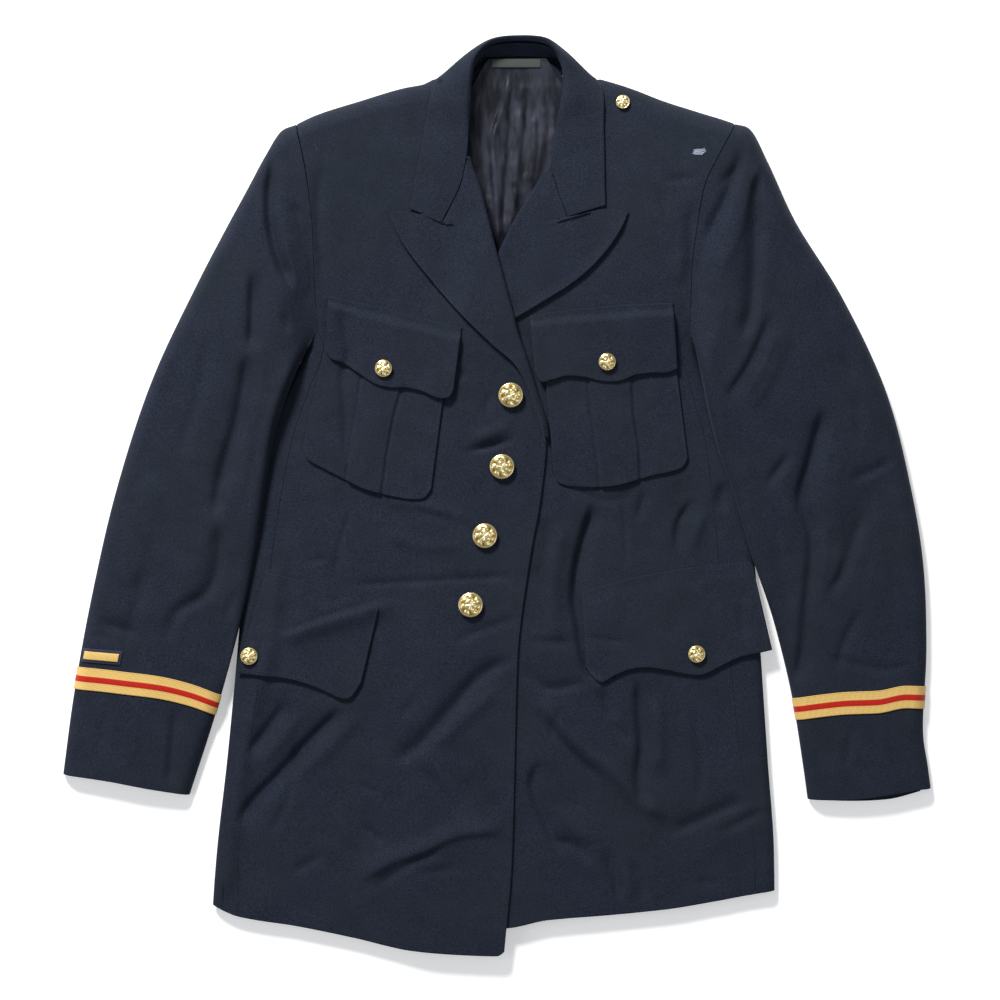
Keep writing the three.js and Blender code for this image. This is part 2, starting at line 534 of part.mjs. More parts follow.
// A lapel is folded back at the roll line and lies on its front.
function lapel(side) {
  const toRoll = side === 'R' ? 1 : -1;
  const roll = body['edge' + side];
  const rows = lapelRows[side];
  const dense = rows.flatMap((row, i) => (i === rows.length - 1 ? [row] : [row, {
    roll: (row.roll + rows[i + 1].roll) / 2, x: (row.x + rows[i + 1].x) / 2, y: (row.y + rows[i + 1].y) / 2,
  }]));
  const grid = dense.map((row) => {
    const inside = roll(row.roll);
    const line = [0, 0.15, 0.45, 0.75, 1].map((u) => {
      const x = mix(row.x, inside, u);
      const y = mix(row.y, row.roll, u);
      return point(x, y, face[side](x, y) + lie.lapel);
    });
    const top = face[side](inside, row.roll) + layer;
    for (const { out, down } of rollTurn) {
      line.push(point(inside + toRoll * rollNose * out, row.roll, top - down));
    }
    return side === 'R' ? line : line.reverse();
  });
  return wall(grid, cloth);
}

const collarSwell = 0.6;    // how far the fall's middle stands above its edges
const collarTurn = 2.2;     // how far the fold turns down on its inner side
const collarColumns = [0, 0.16, 0.33, 0.5, 0.62, 0.72, 0.86, 1];

function collar() {
  const full = collarRows.map((row) => {
    const side = row.ex < centre ? 'R' : 'L';
    if (row.ez !== undefined) return { ...row, lie: 0, side };
    const turn = row.fy > 320 ? 1 : 0.15;
    const toNeck = side === 'R' ? 1 : -1;
    const z = (x, y) => face[side](x, y) + lie.collar;
    const mx = (row.ex + row.fx) / 2;
    const my = (row.ey + row.fy) / 2;
    return {
      ...row, lie: 1, side, ez: z(row.ex, row.ey), mx, my, mz: z(mx, my) + collarSwell, fz: z(row.fx, row.fy),
      kx: row.fx + toNeck * rollNose * turn, ky: row.fy, kz: z(row.fx, row.fy) - collarTurn * turn,
    };
  });
  const paths = ['e', 'm', 'f', 'k'].map((name) => new THREE.CatmullRomCurve3(
    full.map((row) => point(row[name + 'x'], row[name + 'y'], row[name + 'z'])), false, 'centripetal'));
  const grid = steps((full.length - 1) * 2).map((v) => {
    const [e, m, f, k] = paths.map((path) => path.getPoint(v));
    const section = new THREE.CatmullRomCurve3([e, m, f, k], false, 'centripetal');
    return collarColumns.map((u) => {
      const p = section.getPoint(u);
      return point(p.x, p.y, Math.max(0, p.z));
    });
  });
  return wall(grid, cloth);
}

const standTop = 0.08;      // the stand starts a little below the fold
const standHollow = 1.2;

function collarStand() {
  const paths = ['t', 'b'].map((name) => new THREE.CatmullRomCurve3(
    standRows.map((row) => point(row[name + 'x'], row[name + 'y'], row[name + 'z'])), false, 'centripetal'));
  const grid = steps((standRows.length - 1) * 2).map((at) => {
    const [top, bottom] = paths.map((path) => path.getPoint(at));
    return steps(3).map((v) => mix(standTop, 1, v))
      .map((u) => top.clone().lerp(bottom, u).add(point(0, 0, -standHollow * Math.sin(Math.PI * u))));
  });
  return wall(grid, cloth);
}

// A piece sewn on a front, filled between its top and bottom edges.
const patchStep = 11;       // longest step along a piece's bottom edge
function patch(side, rows, heightAt, drops) {
  const dense = rows.flatMap((row, i) => {
    const next = rows[i + 1];
    if (!next) return [row];
    const half = Object.fromEntries(edgeNames.map((name) => [name, (row[name] + next[name]) / 2]));
    return Math.hypot(next.bx - row.bx, next.by - row.by) > patchStep ? [row, half] : [row];
  });
  const grid = drops.map((v) => dense.map((row) => {
    const x = mix(row.bx, row.tx, v);
    const y = mix(row.by, row.ty, v);
    return point(x, y, face[side](x, y) + heightAt(x, y, v));
  }));
  return wall(grid, cloth);
}
function chestPocket(side) {
  const rows = chestPocketRows[side];
  const first = rows[0];
  const last = rows[rows.length - 1];
  const pleat = (x, y) => {
    const v = clamp01((2 * y - first.by - last.by) / (first.ty + last.ty - first.by - last.by));
    const middle = mix(first.bx + last.bx, first.tx + last.tx, v) / 2;
    return pleatRise * (1 - ease((Math.abs(x - middle) - pleatWidth / 2 + 2) / 3)) * (1 - v);
  };
  return patch(side, rows, (x, y) => lie.pocket + pleat(x, y), steps(7));
}
function chestFlap(side) {
  const rise = (x, y, v) => mix(lie.chestFlap, lie.flapHinge, ease((v - 0.8) / 0.12));
  return patch(side, chestFlapRows[side], rise, [0, 0.2, 0.5, 0.76, 0.83, 0.91, 1]);
}
function lowerFlap(side) {
  return patch(side, lowerFlapRows[side], () => lie.lowerFlap, steps(5));
}

// The lining shows in the neck opening, with soft lengthwise folds.
const liningRows = [
  { y: 150, low: -32, high: 46 }, { y: 250, low: -40, high: 62 }, { y: 320, low: -44, high: 78 },
  { y: 350, low: -42, high: 78 }, { y: 366, low: -30, high: 68 }, { y: 380, low: -20, high: 57 },
  { y: 392, low: -13, high: 50 }, { y: 400, low: -7, high: 45 },
];
const liningGap = 1;        // above the back
const liningFold = 1.1;     // half the height of its soft folds
function liningFace(x, y) {
  const pleatX = mix(-4, 12, clamp01((y - 230) / 160));
  const folds = liningFold * (1 + Math.cos((x - pleatX) / 4));
  return backFace(x, y) + liningGap + lining + folds * (1 - ease((y - 365) / 22));
}
function backLining() {
  const low = curve(liningRows, 'y', 'low');
  const high = curve(liningRows, 'y', 'high');
  const grid = steps(11).map((v) => {
    const y = mix(liningRows[0].y, 399.5, v);
    return steps(18).map((u) => {
      const x = mix(low(y), high(y), u);
      return point(x, y, liningFace(x, y));
    });
  });
  return wall(grid, lining);
}
function neckLabel() {
  const grid = steps(2).map((v) => steps(6).map((u) => {
    const x = mix(labelSize.left, labelSize.right, u);
    const y = mix(labelSize.low, labelSize.high, v);
    return point(x, y, liningFace(x, y) + layGap + labelSize.thick);
  }));
  return wall(grid, labelSize.thick);
}

// Where a sleeve's column passes a given height line, so that trim can run across the sleeve.
function sleeveAt(side, u, line) {
  let low = 0.4;
  let high = 1;
  for (let pass = 0; pass < 30; pass += 1) {
    const t = (low + high) / 2;
    const p = sleeveTop[side](u, t);
    if (p.y > line(p.x)) low = t; else high = t;
  }
  return (low + high) / 2;
}
function sleeveTrim(side, columns, line, width, lift, thick, rows) {
  const grid = steps(rows).map((v) => facing(side, columns).map((u) => {
    const t = sleeveAt(side, u, (x) => line(x) + (v - 0.5) * width);
    const p = sleeveTop[side](u, t);
    const across = sleeveTop[side](Math.min(1, u + 0.01), t).sub(sleeveTop[side](Math.max(0, u - 0.01), t));
    const along = sleeveTop[side](u, t - 0.01).sub(sleeveTop[side](u, Math.min(1, t + 0.01)));
    const normal = across.cross(along).normalize();
    if (normal.z < 0) normal.negate();
    return p.addScaledVector(normal, lift + thick);
  }));
  return wall(grid, thick);
}
function braid(side) {
  const line = curve(sleeveShape[side].braid, 'x', 'y');
  return sleeveTrim(side, sleeveColumns, line, braidWidth, layGap, braidThick, 3);
}
function barColumns(extra) {
  const wide = (x) => {
    let low = 0.5;
    let high = 1;
    for (let pass = 0; pass < 30; pass += 1) {
      const u = (low + high) / 2;
      if (sleeveTop.R(u, sleeveAt('R', u, () => serviceBar.y)).x > x) low = u; else high = u;
    }
    return (low + high) / 2;
  };
  const first = wide(serviceBar.right + extra);
  const last = wide(serviceBar.left - extra * 0.2);
  return steps(8).map((v) => mix(first, last, v));
}
const barSlope = serviceBar.drop / (serviceBar.right - serviceBar.left);
const barLine = (x) => serviceBar.y + barSlope * (x - serviceBar.left);

// A domed shank button, turned about its own axis and seated on a face: radius and height over its radius.
const buttonProfile = [
  [0, 0], [0.26, 0], [0.26, 0.1], [0.86, 0.12], [1, 0.22], [0.94, 0.34], [0.6, 0.46], [0, 0.54],
];
function button(name, size, side, x, y, above) {
  const r = size / 2;
  const profile = buttonProfile.map(([across, up]) => new THREE.Vector2(across * r, up * r));
  const mesh = add(name, new THREE.LatheGeometry(profile, 12).rotateX(Math.PI / 2), gold);
  const surface = (px, py) => shoulderFall(face[side](px, py), px, py);
  const step = r * 0.6;
  const tiltX = surface(x - step, y) - surface(x + step, y);
  const tiltY = surface(x, y - step) - surface(x, y + step);
  const normal = point(tiltX, tiltY, 2 * step).normalize();
  mesh.quaternion.setFromUnitVectors(point(0, 0, 1), normal);
  mesh.position.set(x, y, surface(x, y) + above).addScaledVector(normal, buttonGap);
}

for (const [side, word] of [['R', 'right'], ['L', 'left']]) {
  add(`back_${word}`, backPanel(side), wool);
  add(`side_${word}`, sidePanel(side), wool);
  add(`front_${word}`, frontPanel(side), wool);
  add(`sleeve_under_${word}`, underSleeve(side), wool);
  add(`sleeve_top_${word}`, topSleeve(side), wool);
  add(`lapel_${word}`, lapel(side), wool);
  add(`chest_pocket_${word}`, chestPocket(side), wool);
  add(`chest_flap_${word}`, chestFlap(side), wool);
  add(`lower_flap_${word}`, lowerFlap(side), wool);
  add(`cuff_braid_${word}`, braid(side), braidGold);
}
add('collar', collar(), wool);
add('collar_stand', collarStand(), wool);
add('back_lining', backLining(), satin);
add('neck_label', neckLabel(), tape);
const backingWidth = serviceBar.width + 2 * serviceBar.border;
const barLift = layGap + serviceBar.thick + layGap;
const backing = barColumns(serviceBar.border);
const barBack = sleeveTrim('R', backing, barLine, backingWidth, layGap, serviceBar.thick, 2);
const barTape = sleeveTrim('R', barColumns(0), barLine, serviceBar.width, barLift, serviceBar.thick, 2);
add('service_bar_backing', barBack, navyTape);
add('service_bar', barTape, braidGold);

const frontButtons = [{ x: 12.5, y: 91 }, { x: 4.5, y: 26 }, { x: -11, y: -37 }, { x: -24, y: -100 }];
frontButtons.forEach(({ x, y }, i) => button(`front_button_${i + 1}`, frontButton, 'R', x, y, 0));
button('chest_button_right', pocketButton, 'R', -103, 115, lie.chestFlap);
button('chest_button_left', pocketButton, 'L', 100, 121, lie.chestFlap);
button('lower_button_right', pocketButton, 'R', -226, -147, lie.lowerFlap);
button('lower_button_left', pocketButton, 'L', 182, -145, lie.lowerFlap);
button('shoulder_button', shoulderButton, 'L', 118, 364, 0);

export default jacket;
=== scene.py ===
# Service dress jacket laid flat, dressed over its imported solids: cloth shells on the same forms,
# with folds, seams, stitching, gilt buttons and woven braid. Lengths are millimetres until a mesh is made.
import bpy
import math
import numpy as np
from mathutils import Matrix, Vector


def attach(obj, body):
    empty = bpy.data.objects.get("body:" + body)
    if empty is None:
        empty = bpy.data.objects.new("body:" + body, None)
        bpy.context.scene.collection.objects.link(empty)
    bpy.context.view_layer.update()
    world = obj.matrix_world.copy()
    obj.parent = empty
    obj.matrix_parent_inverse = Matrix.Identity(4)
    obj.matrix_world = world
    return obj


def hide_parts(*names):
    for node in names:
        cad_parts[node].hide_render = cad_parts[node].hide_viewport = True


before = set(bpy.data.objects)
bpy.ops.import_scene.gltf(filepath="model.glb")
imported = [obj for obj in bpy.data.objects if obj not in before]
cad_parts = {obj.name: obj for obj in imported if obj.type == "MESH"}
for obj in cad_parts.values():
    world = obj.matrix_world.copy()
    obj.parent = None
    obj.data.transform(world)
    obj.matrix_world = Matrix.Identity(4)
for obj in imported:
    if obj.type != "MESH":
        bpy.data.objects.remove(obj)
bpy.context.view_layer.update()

mm = 0.001
print("frame loaded:", len(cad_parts), "solids")


def table(names, rows):
    return {name: np.array([row[i] for row in rows], float) for i, name in enumerate(names)}


def ease(v):
    v = np.clip(v, 0, 1)
    return v * v * (3 - 2 * v)


def mix(a, b, t):
    return a + (b - a) * t


def roundUp(v):
    return np.sqrt(1 - (1 - np.clip(v, 0, 1)) ** 2)


# Smooth line through two columns of a table that never overshoots.
def curve(rows, xName, yName):
    x, y = rows[xName], rows[yName]
    rate = np.diff(y) / np.diff(x)
    slope = np.zeros(len(x))
    slope[0], slope[-1] = rate[0], rate[-1]
    product = rate[:-1] * rate[1:]
    total = np.where(np.abs(rate[:-1] + rate[1:]) < 1e-9, 1, rate[:-1] + rate[1:])
    slope[1:-1] = np.where(product <= 0, 0, 2 * product / total)

    def at(value):
        v = np.clip(value, x[0], x[-1])
        i = np.clip(np.searchsorted(x, v, side="right") - 1, 0, len(x) - 2)
        h = x[i + 1] - x[i]
        t = (v - x[i]) / h
        return (y[i] * (1 + 2 * t) * (1 - t) ** 2 + slope[i] * h * t * (1 - t) ** 2
                + y[i + 1] * t * t * (3 - 2 * t) + slope[i + 1] * h * t * t * (t - 1))
    return at


# Centripetal curve through points, evaluated at an array of t from 0 to 1; points may be a stack of rows.
def smoothPath(points, t):
    points = np.asarray(points, float)
    t = np.atleast_1d(np.asarray(t, float))
    n = len(points)
    at = t * (n - 1)
    i = np.clip(np.floor(at).astype(int), 0, n - 2)
    w = at - i
    before = np.concatenate([[2 * points[0] - points[1]], points, [2 * points[-1] - points[-2]]])
    p0, p1, p2, p3 = (before[i + k] for k in range(4))
    w = w.reshape(w.shape + (1,) * (points.ndim - 1))

    def gap(a, b):
        return np.sqrt(np.linalg.norm(b - a, axis=-1, keepdims=True))
    d1 = gap(p1, p2)
    d1 = np.where(d1 < 1e-4, 1, d1)
    d0, d2 = gap(p0, p1), gap(p2, p3)
    d0, d2 = np.where(d0 < 1e-4, d1, d0), np.where(d2 < 1e-4, d1, d2)
    m1 = ((p1 - p0) / d0 - (p2 - p0) / (d0 + d1) + (p2 - p1) / d1) * d1
    m2 = ((p2 - p1) / d1 - (p3 - p1) / (d1 + d2) + (p3 - p2) / d2) * d1
    return p1 + m1 * w + (-3 * p1 + 3 * p2 - 2 * m1 - m2) * w ** 2 + (2 * p1 - 2 * p2 + m1 + m2) * w ** 3


# The same, at even shares of the length.
def evenPath(points, share):
    dense = smoothPath(points, np.linspace(0, 1, 201))
    along = np.concatenate([[0], np.cumsum(np.linalg.norm(np.diff(dense, axis=0), axis=1))])
    return smoothPath(points, np.interp(np.asarray(share) * along[-1], along, np.linspace(0, 1, 201)))


# Shares 0 to 1 across a width, closer together near the ends so that the edges round off.
def shares(width, step, ends=(0, 0.3, 0.7, 1.3, 2.1)):
    first, last = np.array(ends) / width, 1 - np.array(ends[::-1]) / width
    count = max(2, int(round(width * (last[0] - first[-1]) / step)) + 1)
    return np.concatenate([first[:-1], np.linspace(first[-1], last[0], count), last[1:]])


def softNoise(x, y, size, seed):
    lattice = np.random.default_rng(seed).random((61, 61)) * 2 - 1
    u, v = np.asarray(x) / size + 30.3, np.asarray(y) / size + 30.7
    i, j = np.floor(u).astype(int), np.floor(v).astype(int)
    a, b = ease(u - i), ease(v - j)
    row = [mix(lattice[(j + k) % 61, i % 61], lattice[(j + k) % 61, (i + 1) % 61], a) for k in (0, 1)]
    return mix(row[0], row[1], b)


# Sum of noises, each given by its height, its size and its seed.
def unevenness(x, y, layers):
    return sum(height * softNoise(x, y, size, seed) for height, size, seed in layers)


# Height that folds add: each is (rise, half width, lean, path), with a trough negative.
# Lean makes the side to the left of the path wider and the other side steeper.
def foldRise(x, y, folds):
    total = np.zeros(np.broadcast(x, y).shape)
    x, y = np.broadcast_arrays(x, y)
    for rise, wide, lean, path in folds:
        line = smoothPath(np.array(path, float), np.linspace(0, 1, 4 * (len(path) - 1) + 1))
        near = ((x > line[:, 0].min() - 3 * wide) & (x < line[:, 0].max() + 3 * wide)
                & (y > line[:, 1].min() - 3 * wide) & (y < line[:, 1].max() + 3 * wide))
        if not near.any():
            continue
        px, py = x[near], y[near]
        best = np.full(px.shape, 1e9)
        signed, place = np.zeros(px.shape), np.zeros(px.shape)
        run = 0.0
        for (ax, ay), (bx, by) in zip(line[:-1], line[1:]):
            dx, dy = bx - ax, by - ay
            length = math.hypot(dx, dy)
            s = np.clip(((px - ax) * dx + (py - ay) * dy) / length ** 2, 0, 1)
            away = np.hypot(px - ax - s * dx, py - ay - s * dy)
            closer = away < best
            side = np.sign(dx * (py - ay) - dy * (px - ax))
            signed = np.where(closer, away * side, signed)
            place = np.where(closer, run + s * length, place)
            best = np.minimum(best, away)
            run += length
        taper = min(0.4 * run, 22)
        fade = ease(place / taper) * ease((run - place) / taper)
        width = 0.8 * wide * (1 + lean * np.sign(signed))
        total[near] += rise * fade * np.exp(-(signed / width) ** 2)
    return total


# Forms shared with the solids: the layers of cloth, then the outlines of body, hem and shoulders.
cloth, layGap, seamGap = 2.0, 0.5, 0.15
layer = cloth + layGap
overlapStep = layer + 0.5
sideRound, shoulderRound, rollNose = 9, 20, 2.6
hemBase, shoulderBase, underarm, middle = -425, 385, 150, 18
hemReach = 240  # height over which the slant of the hem fades out
lie = dict(lapel=layer + 0.3, collar=layer + 0.6, pocket=layer + 0.3, chestFlap=2 * layer + 0.9,
           flapHinge=1.9, lowerFlap=layer + 0.2, sleeve=layer + 0.6)

bodyRows = table(["y", "sideR", "outR", "edgeR", "edgeL", "outL", "sideL",
                  "backR", "backL", "mid", "flank"], [
    (-425, -264, -237, 6, -47, 237, 255, -208, 200, 12, 10),
    (-330, -257, -236, 14, -46, 236, 254, -202, 197, 13.5, 11),
    (-240, -247, -226, 16.5, -43, 223, 248, -195, 192, 15, 11.5),
    (-150, -238.5, -215, 19, -41, 213, 242, -187, 188, 16, 12),
    (-60, -231, -206, 30, -36, 203, 236, -180, 184, 16.5, 12),
    (0, -223, -197, 40.5, -31, 197, 227, -175, 178, 18, 13),
    (50, -215, -187, 45, -26, 190, 211, -168, 170, 20, 14),
    (100, -191, -170, 32.5, -19, 176, 193, -152, 162, 22, 16),
    (135, -175, -158, 21, -15.5, 167, 183, -150, 160, 23, 18),
    (150, -174, -163, 16, -14, 175, 186, -155, 169, 23.5, 20),
    (165, -175, -164.5, 12.5, -11, 176.5, 187, -163, 176, 24, 22),
    (200, -177, -166, 3, -3.5, 177, 188, -178, 190, 24, 26),
    (240, -178, -167, -7.5, 12.5, 181, 192, -180, 195, 24, 30),
    (280, -182, -171, -17.5, 36.5, 188, 199, -182, 201, 23, 33),
    (310, -187, -176, -27, 52.5, 202, 213, -183, 211, 22, 34),
    (340, -194, -183, -28.5, 57.5, 217, 228, -186, 220, 21, 34),
    (390, -200, -190, -30, 63, 230, 240, -190, 230, 20, 34),
])
hemRows = table(["x", "y"], [
    (-264, -374), (-236, -386), (-181, -395), (-132, -405), (-77, -417), (-22, -421), (0, -421.5),
    (7, -417), (20, -395), (46, -389), (107, -384), (156, -379), (199, -372), (237, -365), (256, -362),
])
hemLeftRows = table(["x", "y"], [
    (-47, -400), (12, -396), (46, -389), (107, -384), (156, -379), (199, -372), (237, -365),
    (256, -362),
])
frontTopRows = table(["x", "y"], [
    (-190, 336), (-183.5, 339.5), (-166, 348), (-126, 361), (-86, 373), (-66, 377), (-57, 381),
    (-50, 379), (-44, 372), (-36, 362), (-24, 360), (55, 360), (70, 362), (80, 367), (86, 376), (94, 381),
    (99, 380), (122, 373), (153, 361),
    (184, 351), (217.5, 340), (225, 336),
])
backTopRows = table(["x", "y"], [
    (-200, 332), (-190, 336), (-183.5, 339.5), (-166, 348), (-126, 361), (-86, 373), (-68, 377), (-57, 381),
    (-49, 378), (-40, 368), (-28, 372), (-21, 388), (-6, 398.5), (18, 400), (41, 399), (56, 390), (63, 378),
    (72, 370), (84, 376), (94, 381), (99, 380), (122, 373), (153, 361), (184, 351), (217.5, 340), (225, 336),
])
body = {name: curve(bodyRows, "y", name) for name in bodyRows if name != "y"}
hem = {"R": curve(hemRows, "x", "y"), "L": curve(hemLeftRows, "x", "y")}
frontTop = curve(frontTopRows, "x", "y")
backTop = curve(backTopRows, "x", "y")

# Broad folds that the solids have too, then the creases of the cloth read off the garment as it lies.
broadFolds = [
    (-1.2, 20, 0, [(-138, 180), (-136, 40)]), (1.5, 15, 0, [(-208, -130), (-96, -98)]),
    (-1.8, 15, 0, [(-190, -180), (-232, -240)]), (-1.6, 16, 0, [(-140, -195), (-238, -300)]),
    (-1.5, 16, 0, [(10, -155), (-95, -240)]), (-1.2, 14, 0, [(-20, -250), (-34, -298)]),
    (1.4, 15, 0, [(-122, -350), (2, -305)]), (-1.8, 15, 0, [(82, -12), (74, -120)]),
    (-1.6, 15, 0, [(130, -175), (134, -270)]), (1.5, 16, 0, [(40, -185), (156, -295)]),
    (-1.6, 15, 0, [(40, -240), (68, -335)]), (-1.5, 16, 0, [(156, -310), (228, -278)]),
    (-1.6, 14, 0, [(172, 20), (160, -30)]), (-1.4, 16, 0, [(150, 310), (156, 250)]),
]
creaseGain = 2.6
bodyCreases = [
    (-0.9, 7, 0.2, [(-140, 179), (-138, 149), (-135, 127), (-140, 112), (-138, 69), (-137, 26)]),
    (-0.6, 5, 0.3, [(-68, 149), (-50, 131), (-45, 106)]),
    (-0.5, 4, 0, [(-36, 118), (-28, 103)]),
    (-0.5, 5, 0, [(-6, 98), (-11, 66)]),
    (-1.5, 4, 0.4, [(-34, 37), (-9, 43), (21, 51)]),
    (1, 8, 0, [(-29, 48), (-6, 56), (17, 65)]),
    (-0.5, 4, 0.3, [(-80, -14), (-37, -26)]),
    (0.5, 6, 0, [(-108, -5), (-62, -11), (-16, -25)]),
    (-0.5, 4, 0, [(-178, -62), (-151, -57)]),
    (-0.7, 4, 0.4, [(-137, -83), (-96, -81), (-40, -78), (18, -75)]),
    (1.2, 9, -0.4, [(-203, -133), (-169, -120), (-114, -104), (-87, -98)]),
    (-0.7, 4, 0.3, [(-198, -128), (-154, -111), (-108, -98)]),
    (-1.5, 8, 0.3, [(-189, -186), (-209, -213), (-232, -244)]),
    (0.8, 8, 0, [(-176, -193), (-195, -221), (-216, -248)]),
    (-1.6, 8, 0.3, [(-138, -192), (-175, -228), (-200, -256), (-224, -281), (-238, -305)]),
    (0.8, 9, 0, [(-124, -200), (-159, -235), (-187, -264)]),
    (-1.7, 8, -0.3, [(17, -148), (-16, -167), (-43, -198), (-74, -232), (-98, -246)]),
    (0.9, 9, 0, [(3, -173), (-27, -200), (-58, -233)]),
    (-0.8, 6, 0.3, [(-43, -136), (-11, -123), (23, -111)]),
    (-0.5, 4, 0, [(-128, -263), (-106, -275)]),
    (-1, 6, 0.3, [(-73, -244), (-52, -271), (-32, -302)]),
    (-0.8, 4, 0, [(-125, -300), (-101, -320)]),
    (1.3, 9, 0.4, [(-128, -354), (-96, -334), (-68, -324), (-37, -310), (9, -305)]),
    (-0.7, 5, 0, [(-117, -362), (-80, -338), (-43, -322)]),
    (-0.7, 6, 0.3, [(-192, -349), (-155, -328)]),
    (-0.5, 5, 0, [(-79, -348), (-29, -339)]),
    (1.1, 10, 0, [(-202, -60), (-206, -133), (-224, -201), (-236, -262), (-244, -324), (-247, -373)]),
    (-0.6, 5, 0, [(-181, -221), (-189, -271), (-209, -317)]),
    (-2.6, 7, 0.45, [(89, -5), (74, -57), (70, -94), (74, -118), (78, -145), (83, -161), (94, -176)]),
    (1, 9, 0, [(63, -23), (53, -60), (52, -106), (58, -143)]),
    (-1.3, 6, 0, [(95, -173), (107, -209)]),
    (-2, 7, 0.4, [(128, -163), (130, -201), (132, -228), (129, -253), (130, -274), (139, -290)]),
    (1, 8, 0, [(145, -179), (148, -225), (146, -262)]),
    (-0.8, 6, 0, [(96, -202), (124, -227)]),
    (-1.1, 6, 0.3, [(19, -149), (44, -177), (87, -170)]),
    (1.4, 8, -0.3, [(40, -183), (64, -216), (86, -237), (107, -253), (132, -278), (159, -299)]),
    (-1, 5, 0, [(34, -192), (58, -225), (80, -247), (100, -264)]),
    (-1.5, 6, 0.3, [(40, -239), (32, -264), (42, -293), (53, -316), (70, -322), (87, -341)]),
    (0.8, 7, 0, [(54, -281), (72, -306), (95, -319)]),
    (-1.2, 6, 0.3, [(96, -320), (107, -351), (114, -378)]),
    (-1, 5, 0, [(118, -330), (132, -354), (134, -375)]),
    (0.8, 6, 0, [(115, -334), (124, -373)]),
    (-1, 7, 0.3, [(155, -312), (184, -299), (233, -277)]),
    (-0.8, 6, 0, [(197, -312), (250, -286)]),
    (-0.5, 5, 0, [(182, -351), (204, -357)]),
    (-0.7, 5, 0, [(22, -133), (75, -136)]),
    (-0.5, 4, 0, [(81, -129), (121, -136)]),
    (-1, 5, 0, [(135, 6), (129, -26)]),
    (-1.6, 6, 0.3, [(182, -1), (166, -26), (165, -57)]),
    (1, 7, 0, [(192, -9), (181, -37), (178, -60)]),
    (-1.4, 8, 0, [(207, 14), (204, -18)]),
    (-1, 6, 0.3, [(39, -17), (52, -60)]),
    (0.8, 7, 0, [(29, -32), (38, -74)]),
    (-0.7, 5, 0.3, [(147, 284), (186, 288)]),
    (-0.6, 5, 0, [(145, 286), (158, 244)]),
    (-0.9, 7, 0, [(178, 271), (176, 235), (178, 189)]),
    (0.7, 8, 0, [(165, 225), (167, 189)]),
    (-0.5, 3, 0, [(-131, -5), (-142, -41), (-151, -80)]),
    (-0.5, 3, 0, [(115, 7), (117, -32), (118, -71)]),
    (-0.8, 6, 0, [(-161, 299), (-162, 244), (-157, 189)]),
    (-0.5, 5, 0, [(44, 23), (95, -5), (132, 1)]),
    (0.6, 7, 0, [(-108, -32), (-71, -46), (-25, -46)]),
    (-0.6, 5, 0, [(219, -97), (228, -133)]),
    (-0.6, 5, 0, [(58, -189), (47, -230)]),
    (-0.5, 4, 0.3, [(40, -331), (58, -377)]),
    (-0.6, 6, 0, [(-71, -179), (-89, -207)]),
    (0.6, 8, 0, [(-154, -281), (-126, -327)]),
    (-0.6, 6, 0, [(178, -189), (187, -244), (183, -290)]),
]
sleeveCreasesR = [
    (-2.4, 8, 0.4, [(-221, 207), (-223, 143), (-225, 127)]),
    (-2, 9, 0.3, [(-225, 133), (-236, 69), (-248, 29), (-255, -5), (-255, -23)]),
    (1.4, 9, 0, [(-238, 23), (-242, -23), (-240, -60)]),
    (-1.8, 7, -0.3, [(-253, -23), (-253, -60), (-264, -90), (-292, -109), (-299, -138)]),
    (-0.9, 5, 0, [(-195, 167), (-188, 145)]),
    (-0.9, 5, 0, [(-188, 265), (-175, 247)]),
    (-0.9, 6, 0.3, [(-370, -117), (-347, -122), (-324, -130)]),
    (-0.6, 5, 0, [(-373, -126), (-349, -132)]),
    (-1, 5, 0, [(-239, -86), (-248, -120)]),
    (1.2, 8, 0, [(-202, 327), (-204, 281)]),
    (-3.6, 6.5, 0.3, [(-203, 326), (-204, 304), (-207, 270), (-205, 240), (-196, 208), (-184, 186)]),
    (1.4, 8, 0, [(-190, 239), (-181, 212), (-176, 179)]),
    (-0.8, 8, 0, [(-259, 152), (-273, 87), (-290, 32)]),
    (0.8, 10, 0, [(-310, 23), (-328, -41), (-339, -87)]),
    (-0.8, 8, 0, [(-319, -60), (-333, -115), (-342, -147)]),
    (-1.2, 6, 0.4, [(-293, -189), (-297, -225), (-301, -271)]),
    (-0.6, 6, 0, [(-356, -189), (-365, -244)]),
    (0.6, 7, 0, [(-328, -193), (-336, -248)]),
    (-0.6, 6, 0, [(-211, 87), (-220, 41), (-227, -5)]),
]
